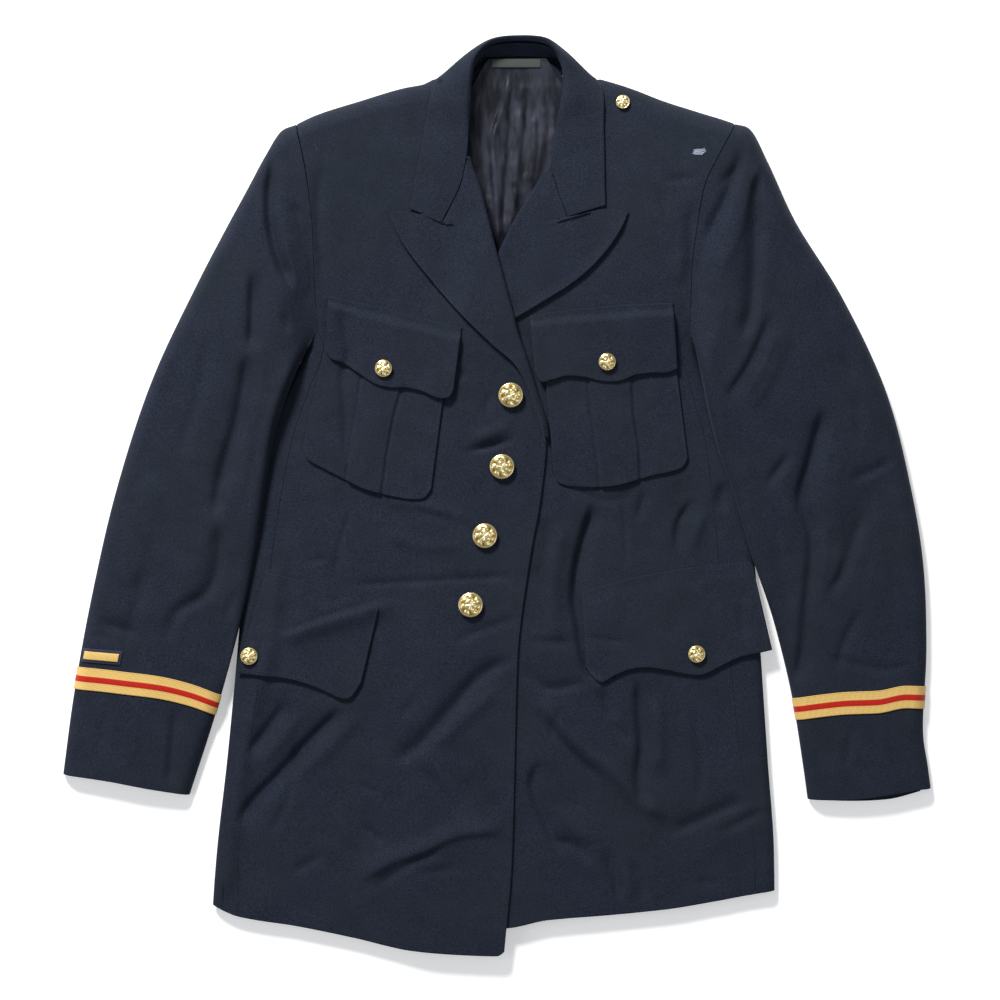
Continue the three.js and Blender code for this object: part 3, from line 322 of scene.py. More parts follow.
sleeveCreasesL = [
    (1.8, 8, 0, [(239, 327), (230, 299), (221, 265), (212, 237), (199, 210), (188, 183)]),
    (-1.8, 7, 0, [(224, 317), (213, 281), (198, 248), (189, 225)]),
    (-2.2, 8, -0.3, [(235, 297), (236, 253), (235, 207), (230, 164), (220, 137)]),
    (-0.9, 5, 0, [(223, 301), (197, 276)]),
    (-1.4, 7, 0.3, [(250, 167), (230, 121), (206, 84)]),
    (1, 8, 0, [(262, 152), (246, 113), (225, 76)]),
    (-0.9, 5, 0, [(314, 138), (327, 100)]),
    (-0.8, 6, 0, [(327, 101), (332, 41)]),
    (-1.9, 8, 0.3, [(299, 83), (285, 32), (276, -5), (286, -32), (286, -63), (281, -109), (279, -140), (271, -179)]),
    (1.2, 9, 0, [(312, 51), (301, 5), (305, -41), (303, -87)]),
    (-1.2, 6, 0, [(243, 5), (256, 23), (269, 41)]),
    (-1, 6, 0.3, [(316, 9), (352, 26), (370, 36)]),
    (-1.1, 7, 0, [(335, -14), (318, -63), (302, -97)]),
    (-0.9, 6, 0, [(335, -100), (318, -133), (308, -167)]),
    (-0.7, 6, 0, [(251, -41), (264, -87), (270, -115)]),
    (0.8, 9, 0, [(352, -41), (347, -87), (352, -133)]),
    (-0.6, 5, 0, [(297, -147), (352, -159), (385, -155)]),
    (-0.6, 6, 0, [(325, -207), (317, -258)]),
    (0.6, 7, 0, [(352, -207), (357, -262)]),
]


# sRGB hex text to the linear colour that a shader takes.
def linear(hexText):
    parts = [int(hexText[i:i + 2], 16) / 255 for i in (1, 3, 5)]
    return tuple(c / 12.92 if c <= 0.04045 else ((c + 0.055) / 1.055) ** 2.4 for c in parts) + (1.0,)


def newFinish(name):
    finish = bpy.data.materials.new(name)
    finish.use_nodes = True
    finish.node_tree.nodes.clear()
    return finish, finish.node_tree


def addNode(tree, kind, inputs=None, **settings):
    node = tree.nodes.new(kind)
    for key, value in settings.items():
        setattr(node, key, value)
    for key, value in (inputs or {}).items():
        if isinstance(value, bpy.types.NodeSocket):
            tree.links.new(value, node.inputs[key])
        else:
            node.inputs[key].default_value = value
    return node


def bands(pitch):
    return 0.31416 / pitch  # scale of a wave texture whose bands are this many metres apart


# Barathea: a dense worsted wool with a pebbled broken rib. It drinks the light, its nap greys at
# grazing angles, and the dye shifts between navy and a greenish black. The rib, really 0.4 mm, is drawn
# at 1.3 mm so that it shows.
woolLook = dict(lit="#262B3A", deep="#13171F", green="#1E252A", rib=0.0013, nap=0.0013)


def woolFinish(name, turn=0.0):
    finish, tree = newFinish(name)
    place = addNode(tree, "ShaderNodeTexCoord")
    uv = addNode(tree, "ShaderNodeMapping", {"Vector": place.outputs["UV"], "Rotation": (0, 0, turn)})
    drift = addNode(tree, "ShaderNodeTexNoise", {"Vector": place.outputs["Object"], "Scale": 9.0, "Detail": 3.0})
    patchy = addNode(tree, "ShaderNodeTexNoise", {"Vector": place.outputs["Object"], "Scale": 45.0, "Detail": 4.0})
    nap = addNode(tree, "ShaderNodeTexNoise", {"Vector": place.outputs["Object"], "Scale": 1 / woolLook["nap"],
                                               "Detail": 3.0, "Roughness": 0.7})
    ribA = addNode(tree, "ShaderNodeTexWave", {"Vector": uv.outputs["Vector"], "Scale": bands(woolLook["rib"]),
                                               "Distortion": 1.6, "Detail": 2.0, "Detail Scale": 1.2},
                   bands_direction="DIAGONAL")
    ribB = addNode(tree, "ShaderNodeTexWave", {"Vector": uv.outputs["Vector"], "Scale": bands(woolLook["rib"] * 0.8),
                                               "Distortion": 2.2, "Detail": 2.0}, bands_direction="Y")
    weave = addNode(tree, "ShaderNodeMath", {0: ribA.outputs["Fac"], 1: ribB.outputs["Fac"]}, operation="MULTIPLY")
    faint = addNode(tree, "ShaderNodeMath", {0: weave.outputs[0], 1: 0.12}, operation="MULTIPLY")
    speckle = addNode(tree, "ShaderNodeMath", {0: faint.outputs[0], 1: nap.outputs["Fac"]}, operation="ADD")
    shade = addNode(tree, "ShaderNodeMapRange", {"Value": speckle.outputs[0], "From Min": 0.36, "From Max": 0.68,
                                                 "To Min": 0.0, "To Max": 1.0})
    tone = addNode(tree, "ShaderNodeMix", {"Factor": shade.outputs["Result"], 6: linear(woolLook["deep"]),
                                           7: linear(woolLook["lit"])}, data_type="RGBA")
    dye = addNode(tree, "ShaderNodeMapRange", {"Value": drift.outputs["Fac"], "From Min": 0.42, "From Max": 0.68,
                                               "To Min": 0.0, "To Max": 0.4})
    dyed = addNode(tree, "ShaderNodeMix", {"Factor": dye.outputs["Result"], 6: tone.outputs[2],
                                           7: linear(woolLook["green"])}, data_type="RGBA")
    worn = addNode(tree, "ShaderNodeMapRange", {"Value": patchy.outputs["Fac"], "From Min": 0.3, "From Max": 0.7,
                                                "To Min": 0.9, "To Max": 1.1})
    color = addNode(tree, "ShaderNodeVectorMath", {0: dyed.outputs[2], "Scale": worn.outputs["Result"]},
                    operation="SCALE")
    bump = addNode(tree, "ShaderNodeBump", {"Height": speckle.outputs[0], "Strength": 0.5, "Distance": 0.0004})
    shader = addNode(tree, "ShaderNodeBsdfPrincipled", {
        "Base Color": color.outputs[0], "Roughness": 0.9, "Specular IOR Level": 0.1, "Sheen Weight": 0.06,
        "Sheen Roughness": 0.42, "Sheen Tint": (0.46, 0.52, 0.72, 1), "Normal": bump.outputs["Normal"]})
    addNode(tree, "ShaderNodeOutputMaterial", {"Surface": shader.outputs[0]})
    return finish


# Satin lining: a floated rayon weave, smooth along the warp. The long grey highlights that its folds catch are
# painted into its colour as stretched streaks.
satinLook = dict(base="#15171E", light="#2F313D", thread=0.0008)


def satinFinish():
    finish, tree = newFinish("satinRayonLining")
    place = addNode(tree, "ShaderNodeTexCoord")
    warp = addNode(tree, "ShaderNodeTexWave", {"Vector": place.outputs["UV"], "Scale": bands(satinLook["thread"]),
                                               "Distortion": 0.6, "Detail": 1.0}, bands_direction="X")
    drawn = addNode(tree, "ShaderNodeMapping", {"Vector": place.outputs["Object"], "Scale": (1.8, 0.5, 1.0)})
    cloud = addNode(tree, "ShaderNodeTexNoise", {"Vector": drawn.outputs["Vector"], "Scale": 80.0, "Detail": 4.0})
    paintedStreaks = addNode(tree, "ShaderNodeMapRange", {"Value": cloud.outputs["Fac"], "From Min": 0.36, "From Max": 0.64})
    # painted highlight: stretched noise mixes the light colour into the base as long streaks
    tone = addNode(tree, "ShaderNodeMix", {"Factor": paintedStreaks.outputs["Result"], 6: linear(satinLook["base"]),
                                           7: linear(satinLook["light"])}, data_type="RGBA")
    height = addNode(tree, "ShaderNodeMath", {0: warp.outputs["Fac"], 1: cloud.outputs["Fac"]}, operation="ADD")
    bump = addNode(tree, "ShaderNodeBump", {"Height": height.outputs[0], "Strength": 0.22, "Distance": 0.0003})
    shader = addNode(tree, "ShaderNodeBsdfPrincipled", {
        "Base Color": tone.outputs[2], "Roughness": 0.4, "Specular IOR Level": 0.22, "Sheen Weight": 0.03,
        "Sheen Roughness": 0.3, "Sheen Tint": (0.75, 0.78, 0.9, 1), "Normal": bump.outputs["Normal"]})
    addNode(tree, "ShaderNodeOutputMaterial", {"Surface": shader.outputs[0]})
    return finish


# Gilt brass: stamped and gold plated. Its colour is set by the relief's height: a painted highlight on the raised
# parts and painted shade, brown, in the hollows.
giltLook = dict(bright="#F7E6AE", mid="#C9A65A", dark="#553509")


def giltFinish():
    finish, tree = newFinish("giltStampedBrass")
    place = addNode(tree, "ShaderNodeTexCoord")
    relief = addNode(tree, "ShaderNodeAttribute", attribute_name="relief")
    mottled = addNode(tree, "ShaderNodeTexNoise", {"Vector": place.outputs["Object"], "Scale": 900.0, "Detail": 3.0})
    worn = addNode(tree, "ShaderNodeMath", {0: mottled.outputs["Fac"], 1: 0.5}, operation="MULTIPLY")
    level = addNode(tree, "ShaderNodeMath", {0: relief.outputs["Fac"], 1: worn.outputs[0]}, operation="ADD")
    # painted highlight and shade: the relief's height sets the colour, dark in the hollows and bright on the raised
    # parts
    ramp = addNode(tree, "ShaderNodeValToRGB", {"Fac": level.outputs[0]})
    stops = ramp.color_ramp.elements
    stops[0].position, stops[0].color = 0.22, linear(giltLook["dark"])
    stops[1].position, stops[1].color = 0.95, linear(giltLook["bright"])
    stops.new(0.5).color = linear(giltLook["mid"])
    bump = addNode(tree, "ShaderNodeBump", {"Height": mottled.outputs["Fac"], "Strength": 0.2, "Distance": 0.0002})
    shader = addNode(tree, "ShaderNodeBsdfPrincipled", {
        "Base Color": ramp.outputs["Color"], "Metallic": 0.92, "Roughness": 0.3, "Normal": bump.outputs["Normal"]})
    addNode(tree, "ShaderNodeOutputMaterial", {"Surface": shader.outputs[0]})
    return finish


# Woven rayon braid: ribbed gold cord edges with a scarlet stripe down the middle, a soft silky shine.
# UV v runs across the braid from 0 to its width, u along it.
braidLook = dict(gold="#E6C77C", goldDeep="#BA9149", red="#CC1E0A", redDeep="#860F05",
                 width=0.0205, redFrom=0.355, redTo=0.62, rib=0.0011)


def braidFinish(name, striped=True):
    look = braidLook
    finish, tree = newFinish(name)
    place = addNode(tree, "ShaderNodeTexCoord")
    rib = addNode(tree, "ShaderNodeTexWave", {"Vector": place.outputs["UV"], "Scale": bands(look["rib"]),
                                              "Distortion": 0.8, "Detail": 1.0}, bands_direction="X")
    fibre = addNode(tree, "ShaderNodeTexNoise", {"Vector": place.outputs["UV"], "Scale": 1400.0, "Detail": 3.0})
    weave = addNode(tree, "ShaderNodeMath", {0: rib.outputs["Fac"], 1: fibre.outputs["Fac"]}, operation="MULTIPLY")
    depth = addNode(tree, "ShaderNodeMapRange", {"Value": weave.outputs[0], "From Min": 0.05, "From Max": 0.45,
                                                 "To Min": 0.0, "To Max": 1.0})
    gold = addNode(tree, "ShaderNodeMix", {"Factor": depth.outputs["Result"], 6: linear(look["goldDeep"]),
                                           7: linear(look["gold"])}, data_type="RGBA")
    color = gold.outputs[2]
    if striped:
        split = addNode(tree, "ShaderNodeSeparateXYZ", {"Vector": place.outputs["UV"]})
        share = addNode(tree, "ShaderNodeMath", {0: split.outputs["Y"], 1: look["width"]}, operation="DIVIDE")
        red = addNode(tree, "ShaderNodeMix", {"Factor": depth.outputs["Result"], 6: linear(look["redDeep"]),
                                              7: linear(look["red"])}, data_type="RGBA")
        above = addNode(tree, "ShaderNodeMapRange", {"Value": share.outputs[0], "From Min": look["redFrom"] - 0.012,
                                                     "From Max": look["redFrom"] + 0.012})
        below = addNode(tree, "ShaderNodeMapRange", {"Value": share.outputs[0], "From Min": look["redTo"] - 0.012,
                                                     "From Max": look["redTo"] + 0.012, "To Min": 1.0, "To Max": 0.0})
        stripe = addNode(tree, "ShaderNodeMath", {0: above.outputs["Result"], 1: below.outputs["Result"]},
                         operation="MULTIPLY")
        color = addNode(tree, "ShaderNodeMix", {"Factor": stripe.outputs[0], 6: gold.outputs[2],
                                                7: red.outputs[2]}, data_type="RGBA").outputs[2]
    bump = addNode(tree, "ShaderNodeBump", {"Height": weave.outputs[0], "Strength": 0.6, "Distance": 0.0003})
    shader = addNode(tree, "ShaderNodeBsdfPrincipled", {
        "Base Color": color, "Roughness": 0.55, "Specular IOR Level": 0.25, "Sheen Weight": 0.05,
        "Sheen Roughness": 0.35, "Normal": bump.outputs["Normal"]})
    addNode(tree, "ShaderNodeOutputMaterial", {"Surface": shader.outputs[0]})
    return finish


# Plain woven tape or sewing thread: fine cross ribs and loose fibres.
def tapeFinish(name, light, dark, pitch=0.0007, rough=0.8):
    finish, tree = newFinish(name)
    place = addNode(tree, "ShaderNodeTexCoord")
    rib = addNode(tree, "ShaderNodeTexWave", {"Vector": place.outputs["UV"], "Scale": bands(pitch),
                                              "Distortion": 0.7}, bands_direction="DIAGONAL")
    fibre = addNode(tree, "ShaderNodeTexNoise", {"Vector": place.outputs["Object"], "Scale": 1200.0, "Detail": 3.0})
    level = addNode(tree, "ShaderNodeMath", {0: rib.outputs["Fac"], 1: fibre.outputs["Fac"]}, operation="MULTIPLY")
    tone = addNode(tree, "ShaderNodeMix", {"Factor": level.outputs[0], 6: linear(dark), 7: linear(light)},
                   data_type="RGBA")
    bump = addNode(tree, "ShaderNodeBump", {"Height": level.outputs[0], "Strength": 0.4, "Distance": 0.0002})
    shader = addNode(tree, "ShaderNodeBsdfPrincipled", {
        "Base Color": tone.outputs[2], "Roughness": rough, "Sheen Weight": 0.15, "Normal": bump.outputs["Normal"]})
    addNode(tree, "ShaderNodeOutputMaterial", {"Surface": shader.outputs[0]})
    return finish


wool = woolFinish("worstedBarathea")
woolBias = woolFinish("worstedBaratheaOnTheBias", 0.7)
satin = satinFinish()
gilt = giltFinish()
braidCloth = braidFinish("wovenGoldAndScarletBraid")
barCloth = braidFinish("wovenGoldLace", striped=False)
navyTape = tapeFinish("navyBackingTape", "#1E1F42", "#131430")
labelTape = tapeFinish("bareLabelTape", "#4E554F", "#2A2F2C")
navyThread = tapeFinish("navySewingThread", "#20242F", "#141821")
goldThread = tapeFinish("goldSewingThread", "#E2BC66", "#A97F35")
whiteThread = tapeFinish("whiteThreadEnds", "#D9DEE4", "#8E98A8")
violetThread = tapeFinish("violetThreadEnd", "#3A2F8A", "#241C5C")
floorFinish = bpy.data.materials.new("paleFloor")
print("finishes made")


faceLook = dict(cockle=[(0.45, 46, 4), (0.3, 21, 5), (0.11, 9, 6)], calm=0.75, calmFrom=175, calmOver=60)
overlapLook = dict(before=55, over=42, fadeFrom=215, fadeOver=80, lapelFrom=80, lapelOver=70, lapelTo=200,
                   lapelFade=85)
neckSpan = dict(right=-57, left=88, over=9, keep=30, seam=0.7)
collarSeat = dict(first=2.8, firstFrom=352, firstOver=24, second=2.6, secondFrom=376, secondOver=20, half=66,
                  fade=22)


# Height of the fronts above the surface that the jacket lies on.
def bodyFace(x, y):
    low, high = body["sideR"](y) + sideRound, body["sideL"](y) - sideRound
    at = np.clip(x, low, high)
    across = (at - (low + high) / 2) / ((high - low) / 2)
    base = mix(body["flank"](y), body["mid"](y), 1 - across ** 2) + foldRise(at, y, broadFolds)
    look = faceLook
    calm = 1 - look["calm"] * ease((y - look["calmFrom"]) / look["calmOver"])  # canvas keeps the chest smooth
    return base + unevenness(x, y, look["cockle"]) * calm + creaseGain * foldRise(x, y, bodyCreases)


# The right front rises where the left one lies under it, and a second time over the left lapel.
def overlapRise(x, y):
    look = overlapLook
    near = ease((x - body["edgeL"](y) + look["before"]) / look["over"])
    front = 1 - ease((y - look["fadeFrom"]) / look["fadeOver"])
    lapelBelow = (ease((y - look["lapelFrom"]) / look["lapelOver"])
                  - ease((y - look["lapelTo"]) / look["lapelFade"]))
    return overlapStep * near * (front + lapelBelow)


def face(side, x, y):
    return bodyFace(x, y) + (overlapRise(x, y) if side == "R" else 0)


# The back lies flat, and near the neck it lies over the two layers of the collar.
def backFace(x, y):
    look = collarSeat
    overFall = (look["first"] * ease((y - look["firstFrom"]) / look["firstOver"])
                + look["second"] * ease((y - look["secondFrom"]) / look["secondOver"]))
    return cloth + overFall * (1 - ease((np.abs(x - middle) - look["half"]) / look["fade"]))


# A height z of the fronts, rounded down to the back at the shoulder seam but not under the collar.
def shoulderFall(z, x, y):
    underCollar = (neckSpan["keep"] * ease((x - neckSpan["right"]) / neckSpan["over"])
                   * ease((neckSpan["left"] - x) / neckSpan["over"]))
    return mix(backFace(x, y) + neckSpan["seam"], z, roundUp((frontTop(x) - y + underCollar) / shoulderRound))


# Plan of a panel: levels are straight in the middle of it and bend to the hem and the shoulder.
def panelPlace(level, u, leftEdge, rightEdge, hemLine, topLine):
    level, u = np.broadcast_arrays(level, u)
    y = level.astype(float)
    for _ in range(5):
        x = mix(leftEdge(y), rightEdge(y), u)
        y = (level + (hemLine(x) - hemBase) * (1 - np.clip((level - hemBase) / hemReach, 0, 1))
             + (topLine(x) - shoulderBase) * np.clip((level - underarm) / (shoulderBase - underarm), 0, 1))
    return x, y


# A grid is rows of points in millimetres; these measure one and make a mesh of it.
def unitNormals(grid):
    across, along = np.gradient(grid, axis=1), np.gradient(grid, axis=0)
    normal = np.cross(across, along)
    return normal / np.maximum(np.linalg.norm(normal, axis=2, keepdims=True), 1e-9)


def edgeDistance(grid):
    right = np.linalg.norm(np.diff(grid, axis=1), axis=2)
    up = np.linalg.norm(np.diff(grid, axis=0), axis=2)
    fromLeft = np.pad(np.cumsum(right, axis=1), ((0, 0), (1, 0)))
    fromLow = np.pad(np.cumsum(up, axis=0), ((1, 0), (0, 0)))
    return np.minimum.reduce([fromLeft, fromLeft[:, -1:] - fromLeft, fromLow, fromLow[-1:] - fromLow])


def gridUv(grid):
    right = np.linalg.norm(np.diff(grid, axis=1), axis=2)
    up = np.linalg.norm(np.diff(grid, axis=0), axis=2)
    u = np.pad(np.cumsum(right, axis=1), ((0, 0), (1, 0)))
    v = np.pad(np.cumsum(up, axis=0), ((1, 0), (0, 0)))
    return np.dstack([u - u[:, u.shape[1] // 2][:, None], v])


def meshFrom(name, points, faces, uvs, finishes, faceFinish=None):
    mesh = bpy.data.meshes.new(name)
    mesh.vertices.add(len(points))
    mesh.vertices.foreach_set("co", (np.asarray(points, np.float32) * mm).ravel())
    size = faces.shape[1]
    mesh.loops.add(faces.size)
    mesh.loops.foreach_set("vertex_index", faces.ravel().astype(np.int32))
    mesh.polygons.add(len(faces))
    mesh.polygons.foreach_set("loop_start", np.arange(0, faces.size, size, dtype=np.int32))
    mesh.polygons.foreach_set("loop_total", np.full(len(faces), size, np.int32))
    mesh.polygons.foreach_set("use_smooth", np.ones(len(faces), bool))
    layerUv = mesh.uv_layers.new(name="clothUv")
    layerUv.data.foreach_set("uv", (np.asarray(uvs, np.float32) * mm)[faces.ravel()].ravel())
    for finish in finishes:
        mesh.materials.append(finish)
    if faceFinish is not None:
        mesh.polygons.foreach_set("material_index", faceFinish.astype(np.int32))
    mesh.update()
    mesh.validate()
    piece = bpy.data.objects.new(name, mesh)
    bpy.context.collection.objects.link(piece)
    return piece


# A closed shell of cloth behind a grid of face points, with rounded edges. Columns run to the right of
# rows, seen from the face. The rear stays above what lies under it and can carry the lining. It
# returns the piece and the points of its face.
def clothShell(name, grid, thick, finishes, under=None, liningInset=None, liningFace=False, uv=None, soften=1.0):
    rows, cols = grid.shape[:2]
    normal = unitNormals(grid)
    away = edgeDistance(grid)
    radius = thick / 2 * np.broadcast_to(soften, away.shape)
    drop = (radius - np.sqrt(radius ** 2 - (radius - np.minimum(away, radius)) ** 2))[..., None] * 0.85
    front = grid - normal * drop
    rear = grid - normal * (thick - drop)
    if under is not None:
        rear[..., 2] = np.maximum(rear[..., 2], under(rear[..., 0], rear[..., 1]))
        rear[..., 2] = np.where(normal[..., 2] > 0.3, np.minimum(rear[..., 2], front[..., 2] - 0.1), rear[..., 2])
    index = np.arange(rows * cols).reshape(rows, cols)
    a, b, c, d = index[:-1, :-1], index[:-1, 1:], index[1:, 1:], index[1:, :-1]
    faceQuads = np.stack([a, b, c, d], -1).reshape(-1, 4)
    count = rows * cols
    rearQuads = np.stack([a, d, c, b], -1).reshape(-1, 4) + count
    rim = np.concatenate([index[0, :-1], index[:-1, -1], index[-1, :0:-1], index[:0:-1, 0]])
    after = np.roll(rim, -1)
    rimQuads = np.stack([rim, rim + count, after + count, after], -1)
    points = np.concatenate([front.reshape(-1, 3), rear.reshape(-1, 3)])
    flatUv = (gridUv(grid) if uv is None else uv).reshape(-1, 2)
    faces = np.concatenate([faceQuads, rearQuads, rimQuads])
    faceFinish = None
    if liningInset is not None:
        inside = (away[:-1, :-1] > liningInset).reshape(-1)
        none = np.zeros(len(inside), bool)
        sides = [inside, none] if liningFace else [none, inside]
        faceFinish = np.concatenate(sides + [np.zeros(len(rimQuads), bool)])
    piece = meshFrom(name, points, faces, np.concatenate([flatUv, flatUv]), finishes, faceFinish)
    return piece, front


def floorLevel(x, y):
    return 0 * x


def area(grid):
    across, along = np.diff(grid, axis=1)[:-1], np.diff(grid, axis=0)[:, :-1]
    return float(np.linalg.norm(np.cross(across, along), axis=2).sum())


cutList = []


def laidBox(grid):
    # Smallest rectangle round a piece that lies flat, in plan: the shorter side first.
    spots = grid[..., :2].reshape(-1, 2)
    boxes = []
    for turn in np.radians(np.arange(180)):
        across, along = np.array([np.cos(turn), np.sin(turn)]), np.array([-np.sin(turn), np.cos(turn)])
        boxes.append(sorted((float(np.ptp(spots @ across)), float(np.ptp(spots @ along)))))
    return min(boxes, key=lambda box: box[0] * box[1])


def settle(piece, node, grid, flat=None):
    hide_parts(node)
    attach(piece, "root")
    width = float(np.max(np.linalg.norm(np.diff(grid, axis=1), axis=2).sum(axis=1)))
    length = float(np.max(np.linalg.norm(np.diff(grid, axis=0), axis=2).sum(axis=0)))
    size = flat or (width, max(length, 10.2))  # a narrow tape's cut includes the edges turned under
    cut = area(grid)
    cutList.append((piece.name, round(size[0]), round(size[1]), round(cut)))


def addPoints(grid, z):
    return np.dstack([grid[0], grid[1], z])


# Back, front and side panels. Widths here only set how many columns a panel has.
bodyLook = dict(step=2.3, thick=1.9, backStep=5, backThick=1.8, hemAllowance=32, backRise=9,
                frontWidth=240, backWidth=190, sideThick=1.8, sideTop=158, sideAllowance=22, facing=40,
                denseTop=26, denseRows=22, seamEdge=0.3, sideEdge=0.5)


def bodyLevels(step):
    whole = shoulderBase - hemBase
    low = shares(whole, step)
    extra = np.linspace(1 - bodyLook["denseTop"] / whole, 1, bodyLook["denseRows"])[1:-1]
    return hemBase + whole * np.unique(np.round(np.concatenate([low, extra]), 6))


def frontPanel(side):
    leftEdge, rightEdge = (body["outR"], body["edgeR"]) if side == "R" else (body["edgeL"], body["outL"])
    level = bodyLevels(bodyLook["step"])[:, None]
    u = shares(bodyLook["frontWidth"], bodyLook["step"])[None, :]
    x, y = panelPlace(level, u, leftEdge, rightEdge, hem[side], frontTop)
    return addPoints((x, y), shoulderFall(face(side, x, y), x, y))


def backPanel(side):
    def centreSeam(y):
        return 0 * y + (-1 if side == "R" else 1) * seamGap / 2

    def risenHem(v):
        return hem[side](v) + bodyLook["backRise"]
    leftEdge, rightEdge = (body["backR"], centreSeam) if side == "R" else (centreSeam, body["backL"])
    level = bodyLevels(bodyLook["backStep"])[:, None]
    u = shares(bodyLook["backWidth"], bodyLook["backStep"])[None, :]
    x, y = panelPlace(level, u, leftEdge, rightEdge, risenHem, backTop)
    return addPoints((x, y), backFace(x, y))


# From the front's seam round the fold at the side to the back's seam.
def sidePanel(side):
    toSide = -1 if side == "R" else 1
    low, high = hemBase, bodyLook["sideTop"]
    at = low + (high - low) * shares(high - low, bodyLook["step"])
    edge = body["side" + side]
    _, y = panelPlace(at, np.full(len(at), 0.5), edge, edge, hem[side], frontTop)
    nearHem = 1 - np.clip((at - hemBase) / hemReach, 0, 1)
    fold = edge(y) - toSide * sideRound
    seam = body["out" + side](y) + toSide * seamGap
    back = body["back" + side](y) + toSide * seamGap
    top = shares(24, 2.4, (0, 0.3, 0.8, 1.5))[:-1]
    turn = np.radians(np.linspace(90, -90, 19))
    flatBack = shares(34, 6, (0, 0.3, 0.8))[1:]
    columns = [(mix(seam, fold, u), None, 0) for u in top]
    columns += [(fold + toSide * sideRound * math.cos(a), math.sin(a), 0) for a in turn]
    columns += [(mix(fold, back, u), -1.0, u) for u in flatBack]
    atFold = face(side, fold, y)
    lines = []
    for x, up, u in columns:
        level = y + nearHem * (hem[side](x) + bodyLook["backRise"] * u - hem[side](edge(y)))
        lines.append(np.stack([x, level, face(side, x, level) if up is None else atFold / 2 * (1 + up)], -1))
    grid = np.stack(lines, 1)
    return grid[:, ::-1] if side == "R" else grid


for side, word in (("R", "right"), ("L", "left")):
    grid = backPanel(side)
    piece, _ = clothShell("backPanel_" + word, grid, bodyLook["backThick"], [wool, satin], floorLevel,
                          bodyLook["hemAllowance"], True)
    settle(piece, "back_" + word, grid)
    grid = sidePanel(side)
    piece, _ = clothShell("sidePanel_" + word, grid, bodyLook["sideThick"], [wool, satin], floorLevel,
                          bodyLook["sideAllowance"], soften=bodyLook["sideEdge"])
    settle(piece, "side_" + word, grid)
    grid = frontPanel(side)
    soften = np.ones(grid.shape[1])
    soften[slice(0, 6) if side == "R" else slice(-6, None)] = bodyLook["seamEdge"]  # a seam, not a free edge
    piece, faceGrid = clothShell("frontPanel_" + word, grid, bodyLook["thick"], [wool, satin], None,
                                 bodyLook["facing"], soften=soften)
    settle(piece, "front_" + word, grid)
    if side == "R":
        rightFront = faceGrid
print("body panels made")


# Sleeves: each outline is read from the armhole to the cuff, then its broad folds and creases.
sleeveLook = dict(step=2.4, thick=1.5, under=1.4, turn=3.1, rollArmhole=16, rollCuff=11, head=3, least=6,
                  length=600, width=125, underStep=5, underWidth=110, underColumns=6, besideBody=1.5, lip=6.4,
                  topGap=0.6, underGap=3, creaseGain=2.6, creaseTop=1.0, allowance=24, seamEdge=0.3,
                  cockle=[(0.5, 40, 11), (0.22, 18, 12), (0.07, 8, 13)])
sleeveEnds = (0, 0.15, 0.5, 1.1, 2.0, 3.2)  # first columns at each edge of a sleeve and its braid
sleeveShape = {
    "R": dict(
        inner=[(-164, 150), (-175, 128), (-184, 109), (-201, 62), (-210, 15), (-220, -48), (-236, -124),
               (-252, -182), (-282, -275)],
        outer=[(-183.9, 339.5), (-197, 334), (-212, 311), (-227, 283), (-252, 237), (-276, 191), (-316, 106),
               (-349, 5), (-372, -94), (-388, -182), (-398, -256)],
        cuff=[(-282, -275), (-319, -269), (-356, -262), (-398, -256)],
        cuffUnder=[(-282, -275), (-319, -269), (-356, -262), (-398, -256)],
        braid=[(-400, -166), (-364, -169), (-338, -172), (-310, -175.5), (-282, -182), (-250, -194)],
        broad=[(-2.2, 14, 0, [(-222, 195), (-226, 125)]), (-2.0, 15, 0, [(-226, 125), (-254, -5)]),
               (1.8, 15, 0, [(-254, -5), (-300, -132)]), (2.0, 15, 0, [(-208, 318), (-206, 235)]),
               (-1.2, 13, 0, [(-370, -115), (-325, -128)])],
        creases=sleeveCreasesR, tip=(-183.5, 339.5)),
    "L": dict(
        inner=[(176, 150), (184, 118), (193, 75), (202, 41), (216, 2), (233, -57), (254, -118), (270, -182),
               (281, -250), (285, -279)],
        outer=[(217.9, 340), (231, 336), (248, 305), (272, 253), (316, 182), (357, 94), (380, 5), (391, -63),
               (394, -140), (391, -219), (395, -247), (398, -269)],
        cuff=[(285, -279), (322, -279), (362, -274), (385, -270), (398, -269)],
        cuffUnder=[(285, -281), (322, -283), (362, -281), (385, -275), (398, -271)],
        braid=[(266, -197), (292, -193), (320, -190), (347, -189), (374, -184.5), (400, -186)],
        broad=[(2.0, 14, 0, [(236, 316), (200, 196)]), (-2.0, 14, 0, [(236, 300), (228, 170)]),
               (1.8, 14, 0, [(248, 160), (212, 86)]), (-2.0, 15, 0, [(296, 76), (272, -70)]),
               (1.6, 14, 0, [(286, -70), (278, -150)]), (-1.6, 15, 0, [(370, 36), (300, -60)])],
        creases=sleeveCreasesL, tip=(217.5, 340)),
}
crown = curve(table(["t", "crown"], [(0, 37), (0.12, 37), (0.3, 30), (0.5, 24), (0.75, 18), (1, 14)]),
              "t", "crown")


